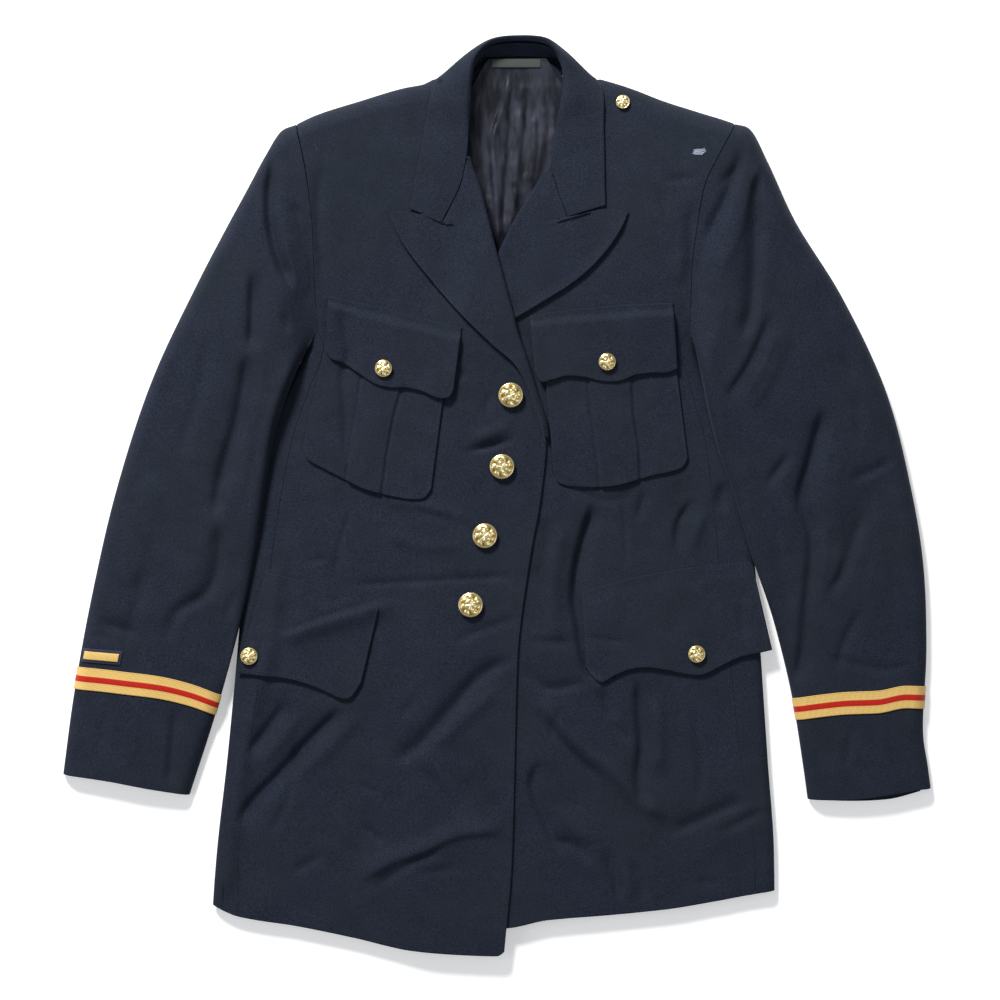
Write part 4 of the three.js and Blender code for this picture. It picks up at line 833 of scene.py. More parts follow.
# Plan of a sleeve, blended from its four edges: u goes from the inner to the outer edge, t to the cuff.
def sleevePlan(side, under, u, t):
    shape = sleeveShape[side]
    toSide = -1 if side == "R" else 1
    edge = body[("back" if under else "out") + side]
    u, t = np.broadcast_arrays(np.asarray(u, float), np.asarray(t, float))
    flatU, flatT = u.ravel(), t.ravel()
    start = np.array(shape["inner"][0], float)

    def armhole(v):
        y = mix(underarm, shape["tip"][1], v)
        x = edge(y) + toSide * seamGap * sleeveLook["underGap" if under else "topGap"]
        return np.stack([mix(start[0], x, ease(v / 0.12)), y], -1)
    cuff = shape["cuffUnder" if under else "cuff"]
    keys, places = np.unique(flatU, return_inverse=True)
    cuffAt, armAt = evenPath(cuff, keys)[places], armhole(keys)[places]
    keysT, placesT = np.unique(flatT, return_inverse=True)
    innerAt, outerAt = evenPath(shape["inner"], keysT)[placesT], evenPath(shape["outer"], keysT)[placesT]
    a0, a1 = armhole(np.array([0.0]))[0], armhole(np.array([1.0]))[0]
    c0, c1 = np.array(cuff[0], float), np.array(cuff[-1], float)
    across, along = flatU[:, None], flatT[:, None]
    p = (armAt * (1 - along) + cuffAt * along + innerAt * (1 - across) + outerAt * across
         - a0 * (1 - along) * (1 - across) - a1 * (1 - along) * across
         - c0 * along * (1 - across) - c1 * along * across)
    return p[:, 0].reshape(u.shape), p[:, 1].reshape(u.shape)


# What a sleeve lies on: the body's side below the underarm, and otherwise the surface itself.
def sleeveFloor(side, x, y):
    toSide = -1 if side == "R" else 1
    beyond = toSide * (x - body["side" + side](y))
    return (body["flank"](y) + layGap) * (1 - ease((beyond - 1) / 22)) * (1 - ease((y - 136) / 30))


# Face of a top sleeve: a padded head at the armhole, a low tube below it, and both edges rolled under.
def sleeveFace(side, u, t):
    look = sleeveLook
    u, t = np.broadcast_arrays(np.asarray(u, float), np.asarray(t, float))
    x, y = sleevePlan(side, False, u, t)
    x0, y0 = sleevePlan(side, False, 0 * t, t)
    x1, y1 = sleevePlan(side, False, 0 * t + 1, t)
    wide = np.hypot(x1 - x0, y1 - y0)
    low = sleeveFloor(side, x, y) + lie["sleeve"]
    roll = mix(look["rollArmhole"], look["rollCuff"], t)
    hump = np.sin(np.pi * u)
    rise = roundUp(u * wide / roll) * roundUp((1 - u) * wide / roll) * (0.82 + 0.18 * hump)
    head = look["head"] * hump * np.exp(-(((t - 0.07) / 0.04) ** 2))
    shape = sleeveShape[side]
    soft = head + foldRise(x, y, shape["broad"])
    drawn = (np.minimum(look["creaseGain"] * foldRise(x, y, shape["creases"]), look["creaseTop"])
             * ease(t / 0.02) * rise)
    soft = soft + unevenness(x, y, look["cockle"])
    tube = mix(low, np.maximum(crown(t), low + look["least"]), rise) + soft * rise
    sx, sy = sleevePlan(side, False, u, 0 * t)
    seam = shoulderFall(face(side, sx, sy), sx, sy)
    z = np.maximum(low, mix(seam, tube, ease(t / 0.13)) + drawn)
    return np.stack([x, y, z], -1)


# The top sleeve turns round both edges and a little way under, as its two seams lie on the underside.
def topSleeve(side):
    look = sleeveLook
    t = 1 - shares(look["length"], look["step"])[:, None]
    u = shares(look["width"], look["step"], sleeveEnds)[None, :]
    grid = sleeveFace(side, u, t)
    lips = []
    for end in (0, -1):
        rim = grid[:, end]
        across = grid[:, end, :2] - grid[:, -1 - end, :2]
        across = across / np.linalg.norm(across, axis=1, keepdims=True)
        base = sleeveFloor(side, rim[:, 0], rim[:, 1])
        tall = rim[:, 2] - base
        lip = []
        for a in np.radians([18, 36, 54, 72, 90]):
            inward = look["turn"] * (1 - math.cos(a))
            lip.append(np.stack([rim[:, 0] - across[:, 0] * inward, rim[:, 1] - across[:, 1] * inward,
                                 base + tall * (1 - math.sin(a))], -1))
        for more in (1.5, 3.5, 5.0, 5.6, 5.9):
            inward = look["turn"] + more
            x, y = rim[:, 0] - across[:, 0] * inward, rim[:, 1] - across[:, 1] * inward
            lip.append(np.stack([x, y, sleeveFloor(side, x, y)], -1))
        lips.append(np.stack(lip, 1))
    whole = np.concatenate([lips[0][:, ::-1], grid, lips[1]], 1)
    return whole[:, ::-1] if side == "R" else whole


# The flat under sleeve, kept beside the body.
def underSleeve(side):
    look = sleeveLook
    toSide = -1 if side == "R" else 1
    t = 1 - shares(look["length"], look["underStep"])[:, None]
    u = shares(look["underWidth"], look["underColumns"])[None, :]
    x, y = sleevePlan(side, True, u, t)
    x0, y0 = sleevePlan(side, True, 0 * t, t)
    beyond = toSide * (x0 - body["side" + side](y0))
    shift = np.maximum(0, look["besideBody"] - beyond) * (1 - ease((y0 - 137) / 13))
    x1, y1 = sleevePlan(side, True, 0 * t + 1, t)
    inset = (look["turn"] + look["lip"]) / np.hypot(x1 - x0, y1 - y0)  # as far as the top sleeve turns under
    uIn = mix(inset, 1 - inset, u)
    x, y = sleevePlan(side, True, uIn, t + 0 * u)
    x = x + toSide * shift * (1 - ease(uIn / 0.45))
    grid = np.dstack([x, y, 0 * x + look["under"]])
    return grid[:, ::-1] if side == "R" else grid


for side, word in (("R", "right"), ("L", "left")):
    grid = topSleeve(side)
    soften = np.ones((len(grid), 1))
    soften[-6:] = sleeveLook["seamEdge"]
    piece, _ = clothShell("topSleeve_" + word, grid, sleeveLook["thick"], [wool, satin], floorLevel,
                          sleeveLook["allowance"], soften=soften)
    settle(piece, "sleeve_top_" + word, grid)
    grid = underSleeve(side)
    piece, _ = clothShell("underSleeve_" + word, grid, sleeveLook["under"], [wool, satin], floorLevel,
                          sleeveLook["allowance"], True)
    settle(piece, "sleeve_under_" + word, grid)
print("sleeves made")


# Lapels: each row is the height of the roll line, then the point on the edge that belongs to it.
lapelLook = dict(step=1.8, thick=2.0, width=120, swell=0.42, lift=dict(R=2.0, L=1.2), liftWide=7,
                 turnOut=((0.35, 0.2), (0.75, 0.7), (0.95, 1.3), (1.0, 1.9)))
lapelRows = {
    "R": dict(
        outside=[(52, 42.5, 54), (76, 36, 76), (96, 28, 97), (115, 15.5, 119), (131, -5, 137), (150, -33, 164),
                 (174, -60, 195), (200, -86, 229), (216, -99, 257)],
        above=[(216, -99, 257), (225, -80, 257.5), (236, -50, 246.5)],
        gorge=[(236, -50, 246.5), (262, -41.5, 263), (286, -33.5, 280), (308, -27, 306)]),
    "L": dict(
        outside=[(172, -4, 152), (184, 17, 161), (198, 46, 178), (206, 68, 192), (213, 86, 207), (219, 102, 225),
                 (224, 113, 242), (228, 119.5, 257)],
        above=[(228, 119.5, 257), (233, 99, 260), (240, 64, 251)],
        gorge=[(240, 64, 251), (262, 59.5, 264), (280, 55, 276), (296, 50, 294)]),
}


def lapelGrid(side):
    rows = lapelRows[side]
    toRoll = 1 if side == "R" else -1
    parts = []
    for name in ("outside", "above", "gorge"):
        points = np.array(rows[name], float)
        run = np.linalg.norm(np.diff(points[:, 1:], axis=0), axis=1).sum()
        part = evenPath(points, np.linspace(0, 1, max(6, int(run / lapelLook["step"]))))
        parts.append(part if not parts else part[1:])
    line = np.concatenate(parts)
    extra = [line[0] + (line[1] - line[0]) * k for k in (0.15, 0.4)]
    line = np.concatenate([line[:1], extra, line[1:]])
    rollY, edgeX, edgeY = line[:, 0], line[:, 1], line[:, 2]
    inside = body["edge" + side](rollY)
    u = shares(lapelLook["width"], lapelLook["step"])[:-4]
    u = np.append(u, 1.0)
    x = mix(edgeX[:, None], inside[:, None], u)
    y = mix(edgeY[:, None], rollY[:, None], u)
    swell = lapelLook["swell"] * np.sin(np.pi * np.clip(u, 0, 1)) ** 2
    fromEdge = np.hypot(x - edgeX[:, None], y - edgeY[:, None])
    lift = (lapelLook["lift"][side] * np.exp(-(fromEdge / lapelLook["liftWide"]) ** 2)
            * ease((255 - edgeY[:, None]) / 12))
    z = face(side, x, y) + lie["lapel"] + swell + lift
    top = face(side, inside, rollY) + layer
    cols = [np.dstack([x, y, z])]
    for out, down in lapelLook["turnOut"]:
        cols.append(np.dstack([(inside + toRoll * rollNose * out)[:, None], rollY[:, None], (top - down)[:, None]]))
    grid = np.concatenate(cols, 1)
    return grid if side == "R" else grid[:, ::-1]


# Collar: outer edge and fold where it lies on the fronts, and edge, middle, fold and inner edge, each
# with its height, where it stands round the neck.
lyingRows = [(-79.5, 260, -50.2, 248), (-75, 285, -33.8, 281.5), (-70, 310, -27.2, 312), (-65, 338, -27.5, 338)]
standingRows = [
    (-61, 360, 25.8, -45, 360, 27.8, -27, 359, 28.5, -23, 359, 25),
    (-59, 374, 18, -43.5, 376, 25.5, -26, 375, 28.5, -22.5, 375, 24.8),
    (-54, 382, 9, -37.5, 393, 18, -23, 394, 28, -19.5, 391.5, 24.5),
    (-41, 384, 1, -26, 405, 12, -14, 407, 27, -11.5, 404.5, 23.5),
    (-25, 385, 0, -10, 413.5, 9, -3, 414.5, 26, -1.5, 410.2, 23),
    (18, 386, 0, 18, 417, 9, 18, 417.5, 25, 18, 412.8, 22.5),
    (62, 385, 0, 50, 414, 9, 44, 415, 26, 42, 410.6, 23),
    (79, 383, 1, 63, 406, 12, 52.5, 407, 27, 51.5, 404.5, 23.5),
    (90, 381, 9, 74, 393, 18, 61.5, 394, 28, 58, 391.5, 24.5),
    (96, 373, 19, 81.5, 374, 25.5, 63, 375, 28.5, 59.5, 375, 24.8),
    (97.5, 358, 25.8, 80, 359, 27.8, 61.5, 359, 28.5, 57.5, 359, 25)]
lyingRowsLeft = [(97.3, 336, 56, 336), (97.8, 310, 49.3, 306), (98.2, 285, 55.4, 278), (98.7, 263, 64.8, 252.8)]
collarLook = dict(thick=2.0, swell=0.6, turn=2.2)


def collarGrid():
    full = []
    for row in lyingRows + standingRows + lyingRowsLeft:
        if len(row) == 12:
            full.append(row)
            continue
        ex, ey, fx, fy = row
        side = "R" if ex < middle else "L"
        turn = 1 if fy > 320 else 0.15
        toNeck = 1 if side == "R" else -1
        mx, my = (ex + fx) / 2, (ey + fy) / 2

        def up(x, y):
            return float(face(side, np.array([x * 1.0]), np.array([y * 1.0]))[0]) + lie["collar"]
        fz = up(fx, fy)
        full.append((ex, ey, up(ex, ey), mx, my, up(mx, my) + collarLook["swell"], fx, fy, fz,
                     fx + toNeck * rollNose * turn, fy, fz - collarLook["turn"] * turn))
    full = np.array(full, float)
    v = shares(430, 2.2)
    e, m, f, k = (smoothPath(full[:, i:i + 3], v) for i in (0, 3, 6, 9))
    u = np.concatenate([[0, 0.006, 0.015, 0.03], np.linspace(0.05, 0.97, 40), [0.985, 1]])
    grid = np.swapaxes(smoothPath(np.stack([e, m, f, k]), u), 0, 1)
    grid[..., 2] = np.maximum(grid[..., 2], 0.05)
    return grid


standRows = np.array([
    (-22.5, 375, 24, -25, 374, 10), (-19.7, 391, 23.8, -21.5, 390.5, 9.5),
    (-11.8, 404, 22.9, -14, 400, 9), (-1.8, 409.7, 22.4, -4, 400.4, 9), (18, 412.2, 21.9, 18, 401.2, 9),
    (42, 410, 22.4, 43, 400.4, 9), (51.8, 404, 22.9, 53.5, 400, 9), (58.3, 391, 23.8, 60, 390.5, 9.5),
    (59.6, 375, 24, 62, 374, 10)], float)


def standGrid():
    v = shares(150, 2.2)
    top, bottom = smoothPath(standRows[:, :3], v), smoothPath(standRows[:, 3:], v)
    u = mix(0.08, 1, shares(14, 1.2, (0, 0.3, 0.8)))[:, None]
    grid = top[:, None] * (1 - u) + bottom[:, None] * u
    grid[..., 2] -= 1.2 * np.sin(np.pi * u[:, 0])
    return grid


stitchPaths = {"wool": [], "gold": []}  # points on a face, set back from its edge, for each thread


def stitchLine(points, thread="wool"):
    stitchPaths[thread].append(np.array(points, float))


for side, word in (("R", "right"), ("L", "left")):
    grid = lapelGrid(side)
    piece, faceGrid = clothShell("lapelCloth_" + word, grid, lapelLook["thick"], [woolBias, wool], None)
    settle(piece, "lapel_" + word, grid, laidBox(grid))
    edgeColumn = 5 if side == "R" else -6
    stitchLine(faceGrid[3:-3, edgeColumn])
grid = collarGrid()
piece, faceGrid = clothShell("collarFall", grid, collarLook["thick"], [wool], floorLevel)
settle(piece, "collar", grid)
stitchLine(faceGrid[2:-2, 4])
grid = standGrid()
piece, _ = clothShell("collarStand", grid, 1.8, [wool], None)
settle(piece, "collar_stand", grid)
print("lapels and collar made")


# Pockets and flaps: each row is a point on the upper edge, then the point below it on the lower one.
pocketLook = dict(step=1.15, thick=1.7, pleatRise=1.0, pleatLip=1.3, pleatPuff=0.5, grooveDeep=0.9, grooveWide=1.3,
                  grooveOff=1.4, cockle=[(0.25, 17, 31)])
pocketRows = {
    "R": [(-150, 166, -177, 45), (-146, 165, -173, 33), (-137, 163, -158, 24), (-124, 160, -140, 14.5),
          (-110, 156, -124, 6.5), (-96, 153, -108, 1.5), (-80, 149, -92, -2), (-64, 145, -78, -4),
          (-50, 142, -66, -2.5), (-42, 140, -60, 5)],
    "L": [(40, 148, 52, 21), (44, 149, 55, 12.5), (54, 151, 66, 8), (68, 153, 81, 7), (84, 155, 96, 7),
          (100, 156.5, 112, 9), (116, 158, 128, 13.5), (132, 159, 144, 18), (148, 160, 160, 21.5),
          (155, 160.5, 170, 26), (158, 161, 174, 34)],
}
# Edges of the box pleats, from the flap down to the pocket's foot.
pleatLines = {
    "R": ([(-121, 118), (-123, 106), (-128, 72), (-134, 37), (-137, 10)],
          [(-86, 112), (-88, 96), (-95, 70), (-101, 37), (-106, 0)]),
    "L": ([(82, 116), (84, 102), (88, 66), (92, 37), (95, 5)],
          [(120, 118), (122, 106), (124, 75), (129, 41), (130, 14)]),
}
flapLook = dict(step=1.5, thick=1.7, hingeFrom=0.8, chest=dict(rise=0.7, cockle=[(0.5, 24, 32)], over=0.12),
                lower=dict(rise=0.9, cockle=[(0.54, 30, 33)], over=0.15))
chestFlapRows = {
    "R": [(-153, 181, -156, 132), (-148, 180, -151, 124), (-139, 178, -141, 120.5), (-126, 175, -128, 112),
          (-110, 172, -111, 101), (-95, 168, -97, 97.5), (-80, 164, -83, 97.5), (-64, 160, -68, 94),
          (-48, 156, -54, 88), (-38, 153.5, -44, 88.5), (-32, 152, -39.5, 95)],
    "L": [(29.5, 163, 34.5, 114), (36, 164, 39.5, 103), (47, 166, 50, 104.5), (60, 167.5, 63, 108),
          (76, 169.5, 80, 107), (92, 171, 97, 103), (108, 172.5, 112, 103.5), (124, 173.5, 126, 109),
          (140, 174, 142, 111), (153, 174.5, 156, 111.5), (160, 175, 164.5, 115)],
}
lowerFlapRows = {
    "R": [(-212, -70, -237, -163), (-204, -72, -226, -164), (-190, -75, -212, -165.5), (-176, -79.5, -197, -167),
          (-162, -85, -182, -170), (-148, -90, -167, -175), (-134, -94.5, -153, -181),
          (-122, -98, -143, -185.5), (-113, -101.5, -134, -185), (-108, -104.5, -124, -171)],
    "L": [(77, -88, 81, -157), (82, -87, 86, -164.5), (93, -83.5, 95, -171), (108, -79.5, 108, -164.5),
          (124, -75.5, 122, -159), (141, -72, 138, -157.5), (158, -69, 155, -160), (175, -66.5, 172, -163.5),
          (191, -64.5, 188, -164), (207, -63, 205, -156), (221, -61.5, 222, -148), (231, -62, 241, -144),
          (234, -66, 251.5, -141.5)],
}


def patchGrid(side, rows, step, height):
    rows = np.array(rows, float)
    run = np.linalg.norm(np.diff(rows[:, 2:], axis=0), axis=1).sum()
    line = evenPath(rows, shares(run, step))
    tall = np.linalg.norm(rows[:, :2] - rows[:, 2:], axis=1).mean()
    v = shares(tall, step)[:, None]
    x, y = mix(line[:, 2], line[:, 0], v), mix(line[:, 3], line[:, 1], v)
    return np.dstack([x, y, face(side, x, y) + height(x, y, v)])


def pleatHeight(side, x, y, v):
    low, high = (np.array(line, float) for line in pleatLines[side])
    left = np.interp(-y, -low[:, 1], low[:, 0])
    right = np.interp(-y, -high[:, 1], high[:, 0])
    look = pocketLook
    inside = ease((x - left) / look["pleatLip"]) * ease((right - x) / look["pleatLip"])
    puff = look["pleatPuff"] * np.sin(np.pi * np.clip((x - left) / (right - left), 0, 1))
    groove = look["grooveDeep"] * (np.exp(-((x - left + look["grooveOff"]) / look["grooveWide"]) ** 2)
                                   + np.exp(-((x - right - look["grooveOff"]) / look["grooveWide"]) ** 2))
    return (inside * (look["pleatRise"] + puff) - groove) * ease((1 - v) / 0.25)


# Height of a flap over the face of the front: close at its hinge and freer towards its lower edge.
def flapHeight(name, x, y, v):
    look = flapLook[name]
    free = lie[name + "Flap"] + (1 - v) * (look["rise"] + unevenness(x, y, look["cockle"]))
    return mix(free, lie["flapHinge"], ease((v - flapLook["hingeFrom"]) / look["over"]))


def flap(name, side, word, rows):
    def height(x, y, v):
        return flapHeight(name, x, y, v)
    grid = patchGrid(side, rows[side], flapLook["step"], height)
    piece, faceGrid = clothShell(name + "Flap_" + word, grid, flapLook["thick"], [wool], None)
    settle(piece, name + "_flap_" + word, grid)
    for path in (faceGrid[5, 4:-4], faceGrid[6:-4, 5], faceGrid[6:-4, -6]):
        stitchLine(path)


for side, word in (("R", "right"), ("L", "left")):
    def pocketHeight(x, y, v):
        return lie["pocket"] + pleatHeight(side, x, y, v) + unevenness(x, y, pocketLook["cockle"])
    grid = patchGrid(side, pocketRows[side], pocketLook["step"], pocketHeight)
    piece, faceGrid = clothShell("chestPocket_" + word, grid, pocketLook["thick"], [wool], None)
    settle(piece, "chest_pocket_" + word, grid)
    for path in (faceGrid[8:, 5], faceGrid[8:, -6], faceGrid[5, 5:-5]):
        stitchLine(path)
    flap("chest", side, word, chestFlapRows)
    flap("lower", side, word, lowerFlapRows)
stitchLine(rightFront[4:200, -6])
print("pockets and flaps made")


# Lining in the neck opening, crushed into small folds, and the bare label below the stand.
liningRows = table(["y", "low", "high"], [
    (150, -32, 46), (250, -40, 62), (320, -44, 78), (350, -42, 78), (366, -30, 68), (380, -20, 57), (392, -13, 50),
    (400, -7, 45)])
liningLook = dict(gap=1, thick=0.9, fold=0.5, foldRun=4, drawn=2.2, lift=0.9, low=150, high=399.5,
                  cockle=[(0.3, 13, 41), (0.12, 5, 42)])
liningFolds = [
    (1.5, 5, 0.5, [(12, 392), (6, 360), (-4, 330), (-2, 278), (2, 225)]),
    (-1.2, 4, 0, [(7, 390), (1, 360), (-9, 326), (-7, 278)]),
    (1.3, 5, 0, [(23, 370), (20, 330), (16, 278), (10, 230)]),
    (-1.0, 4, 0, [(30, 372), (28, 330), (23, 285)]),
    (1.0, 5, 0.3, [(40, 370), (42, 330), (38, 290)]),
    (1.1, 5, 0, [(-14, 380), (-20, 350), (-16, 310)]),
    (-0.8, 4, 0, [(-6, 385), (-13, 350), (-13, 300)]),
    (0.8, 4, 0, [(-22, 375), (-26, 340), (-20, 300)]),
    (0.7, 4, 0, [(33, 355), (34, 320), (30, 280)]),
    (-0.8, 3, 0, [(14, 380), (12, 340), (8, 280), (4, 240)]),
    (0.7, 4, 0, [(50, 365), (52, 340), (50, 310)]),
]


def liningFace(x, y):
    look = liningLook
    pleat = mix(-4, 12, np.clip((y - 230) / 160, 0, 1))
    folds = look["fold"] * (1 + np.cos((x - pleat) / look["foldRun"])) * (1 - ease((y - 365) / 22))
    drawn = (look["drawn"] * (foldRise(x, y, liningFolds) + unevenness(x, y, look["cockle"]))
             * (1 - ease((y - 384) / 12)))
    return backFace(x, y) + look["gap"] + look["thick"] + folds + np.maximum(drawn + look["lift"], 0.0)


low, high = curve(liningRows, "y", "low"), curve(liningRows, "y", "high")
y = mix(liningLook["low"], liningLook["high"], shares(250, 1.6))[:, None]
x = mix(low(y), high(y), shares(110, 1.2)[None, :])
grid = addPoints((x, y + 0 * x), liningFace(x, y))
piece, _ = clothShell("backLining", grid, liningLook["thick"], [satin], None)
settle(piece, "back_lining", grid)

labelLook = dict(left=-5, right=40, low=391, high=398.5, thick=0.8, lift=0.9, bow=0.7)
x = mix(labelLook["left"], labelLook["right"], shares(45, 1.2))[None, :]
y = mix(labelLook["low"], labelLook["high"], shares(7.5, 0.9, (0, 0.2, 0.5)))[:, None]
bow = labelLook["bow"] * np.sin(np.pi * (x - labelLook["left"]) / (labelLook["right"] - labelLook["left"]))
grid = addPoints((x + 0 * y, y + 0 * x), liningFace(x, y) + labelLook["lift"] + bow)
piece, _ = clothShell("neckLabel", grid, labelLook["thick"], [labelTape], None)
settle(piece, "neck_label", grid)
print("lining and label made")


# Share of the sleeve's length at which it meets a line across it, found by halving.
def sleeveAt(side, u, line):
    low, high = np.full(u.shape, 0.4), np.full(u.shape, 1.0)
    for _ in range(26):
        t = (low + high) / 2
        x, y = sleevePlan(side, False, u, t)
        above = y > line(x)
        low, high = np.where(above, t, low), np.where(above, high, t)
    return (low + high) / 2


# A tape of this width along a line across a sleeve, lifted off its face.
def trimGrid(side, u, v, line, width, lift):
    u, v = np.meshgrid(u, v)

    def row(x):
        return line(x) + (v.ravel() - 0.5) * width
    t = sleeveAt(side, u.ravel(), row).reshape(u.shape)
    p = sleeveFace(side, u, t)
    across = sleeveFace(side, np.minimum(1, u + 0.01), t) - sleeveFace(side, np.maximum(0, u - 0.01), t)
    along = sleeveFace(side, u, t - 0.006) - sleeveFace(side, u, np.minimum(1, t + 0.006))
    normal = np.cross(across, along)
    normal /= np.linalg.norm(normal, axis=2, keepdims=True)
    normal *= np.where(normal[..., 2:] < 0, -1, 1)
    grid = p + normal * lift
    return grid[:, ::-1] if side == "R" else grid


braidPiece = dict(width=20.5, thick=0.9, lift=1.05, step=1.6, cords=9, cordRise=0.16, middleRise=0.25)
for side, word in (("R", "right"), ("L", "left")):
    shape = sleeveShape[side]
    line = curve(table(["x", "y"], shape["braid"]), "x", "y")
    u = shares(sleeveLook["width"], braidPiece["step"], sleeveEnds)
    v = shares(braidPiece["width"], 0.9, (0, 0.25, 0.6))
    grid = trimGrid(side, u, v, line, braidPiece["width"], braidPiece["lift"])
    cords = braidPiece["cordRise"] * np.cos(2 * np.pi * v * braidPiece["cords"])
    stripe = braidPiece["middleRise"] * np.exp(-((v - 0.49) / 0.13) ** 2)
    grid[..., 2] += (cords + stripe)[:, None]
    uv = gridUv(grid)
    uv[..., 1] = (v * braidPiece["width"])[:, None]
    piece, faceGrid = clothShell("cuffBraid_" + word, grid, braidPiece["thick"], [braidCloth], None, uv=uv)
    settle(piece, "cuff_braid_" + word, grid)
    stitchLine(faceGrid[2, 2:-2], "gold")
    stitchLine(faceGrid[-3, 2:-2], "gold")

# Service bar: a short length of gold lace on a navy backing, above the right cuff's braid.
barLook = dict(left=-376.3, right=-344.5, y=-146.3, drop=-2.5, width=7.5, border=2.6, thick=1.0, backThick=0.9,
               backLift=1.2, lift=2.3, bow=0.25)


def barMiddle(x):
    return 0 * x + barLook["y"]


# Shares across the sleeve that the bar covers, with this much border at each end.
def barShares(extra):
    u = np.linspace(0.5, 1, 400)
    t = sleeveAt("R", u, barMiddle)
    x, _ = sleevePlan("R", False, u, t)
    first, last = np.interp([-(barLook["right"] + extra), -(barLook["left"] - extra * 0.8)], -x, u)
    return mix(first, last, shares(36, 1.0, (0, 0.3, 0.7)))


def barLine(x):
    return barLook["y"] + barLook["drop"] * (x - barLook["left"]) / (barLook["right"] - barLook["left"])


wide = barLook["width"] + 2 * barLook["border"]
grid = trimGrid("R", barShares(barLook["border"]), shares(wide, 1, (0, 0.3, 0.7)), barLine, wide, barLook["backLift"])
piece, _ = clothShell("serviceBarBacking", grid, barLook["backThick"], [navyTape], None)
settle(piece, "service_bar_backing", grid)
v = shares(barLook["width"], 0.8, (0, 0.25, 0.6))
grid = trimGrid("R", barShares(0), v, barLine, barLook["width"], barLook["lift"])
grid[..., 2] += barLook["bow"] * np.sin(np.pi * v)[:, None]
piece, _ = clothShell("serviceBar", grid, barLook["thick"], [barCloth], None)
settle(piece, "service_bar", grid)
print("braid and bar made")


# Gilt buttons with a generic stamped relief: a rope rim, a wreath of leaves and a rosette in the middle.
# Heights and radii are shares of the button's own radius, and the gap is the room for its shank.
buttonLook = dict(edge=0.22, dome=0.52, leaves=7, petals=5, rings=46, spokes=120, gap=0.6, deep=0.42, deepSmall=0.32)
frontSize, pocketSize, shoulderSize = 22.9, 15.9, 12.7  # 36, 25 and 20 ligne
# name, size, side, x, y, height of the face it sits on over the front, turn about its axis
buttonPlaces = [
    ("front_button_1", frontSize, "R", 12.5, 91, 0, 14), ("front_button_2", frontSize, "R", 4.5, 26, 0, -20),
    ("front_button_3", frontSize, "R", -11, -37, 0, 33), ("front_button_4", frontSize, "R", -24, -100, 0, -8),
    ("chest_button_right", pocketSize, "R", -103, 115, lie["chestFlap"] + 0.7, 25),
    ("chest_button_left", pocketSize, "L", 100, 121, lie["chestFlap"] + 0.7, -12),
    ("lower_button_right", pocketSize, "R", -226, -147, lie["lowerFlap"] + 0.9, 40),
    ("lower_button_left", pocketSize, "L", 182, -145, lie["lowerFlap"] + 0.9, 10),
    ("shoulder_button", shoulderSize, "L", 114.5, 357, 0, 5)]


# Height of the stamped relief at radius r and angle a, about -1 to 1.
def giltRelief(r, a):
    look = buttonLook
    rope = np.exp(-((r - 0.93) / 0.05) ** 2) * (0.75 + 0.25 * np.sin(34 * a + 60 * r))
    channel = -0.5 * np.exp(-((r - 0.84) / 0.035) ** 2)
    leafTurn = look["leaves"] * a + 2.6 * np.sin(3 * r)
    leaf = np.clip(np.sin(leafTurn), -0.7, 1) * np.exp(-((r - 0.66) / 0.16) ** 2)
    vein = -0.25 * np.exp(-(np.sin(leafTurn / 2 + 0.6) / 0.16) ** 2) * np.exp(-((r - 0.68) / 0.1) ** 2)
    petal = (0.5 + 0.6 * np.cos(look["petals"] * a + 0.8 * np.sin(5 * r))) * np.exp(-((r - 0.28) / 0.2) ** 2)
    between = -0.4 * np.exp(-((r - 0.47) / 0.04) ** 2)
    centre = 0.9 * np.exp(-(r / 0.12) ** 2) + 0.25 * np.exp(-((r - 0.17) / 0.02) ** 2)
    return 0.8 * rope + channel + leaf + vein + petal + between + centre


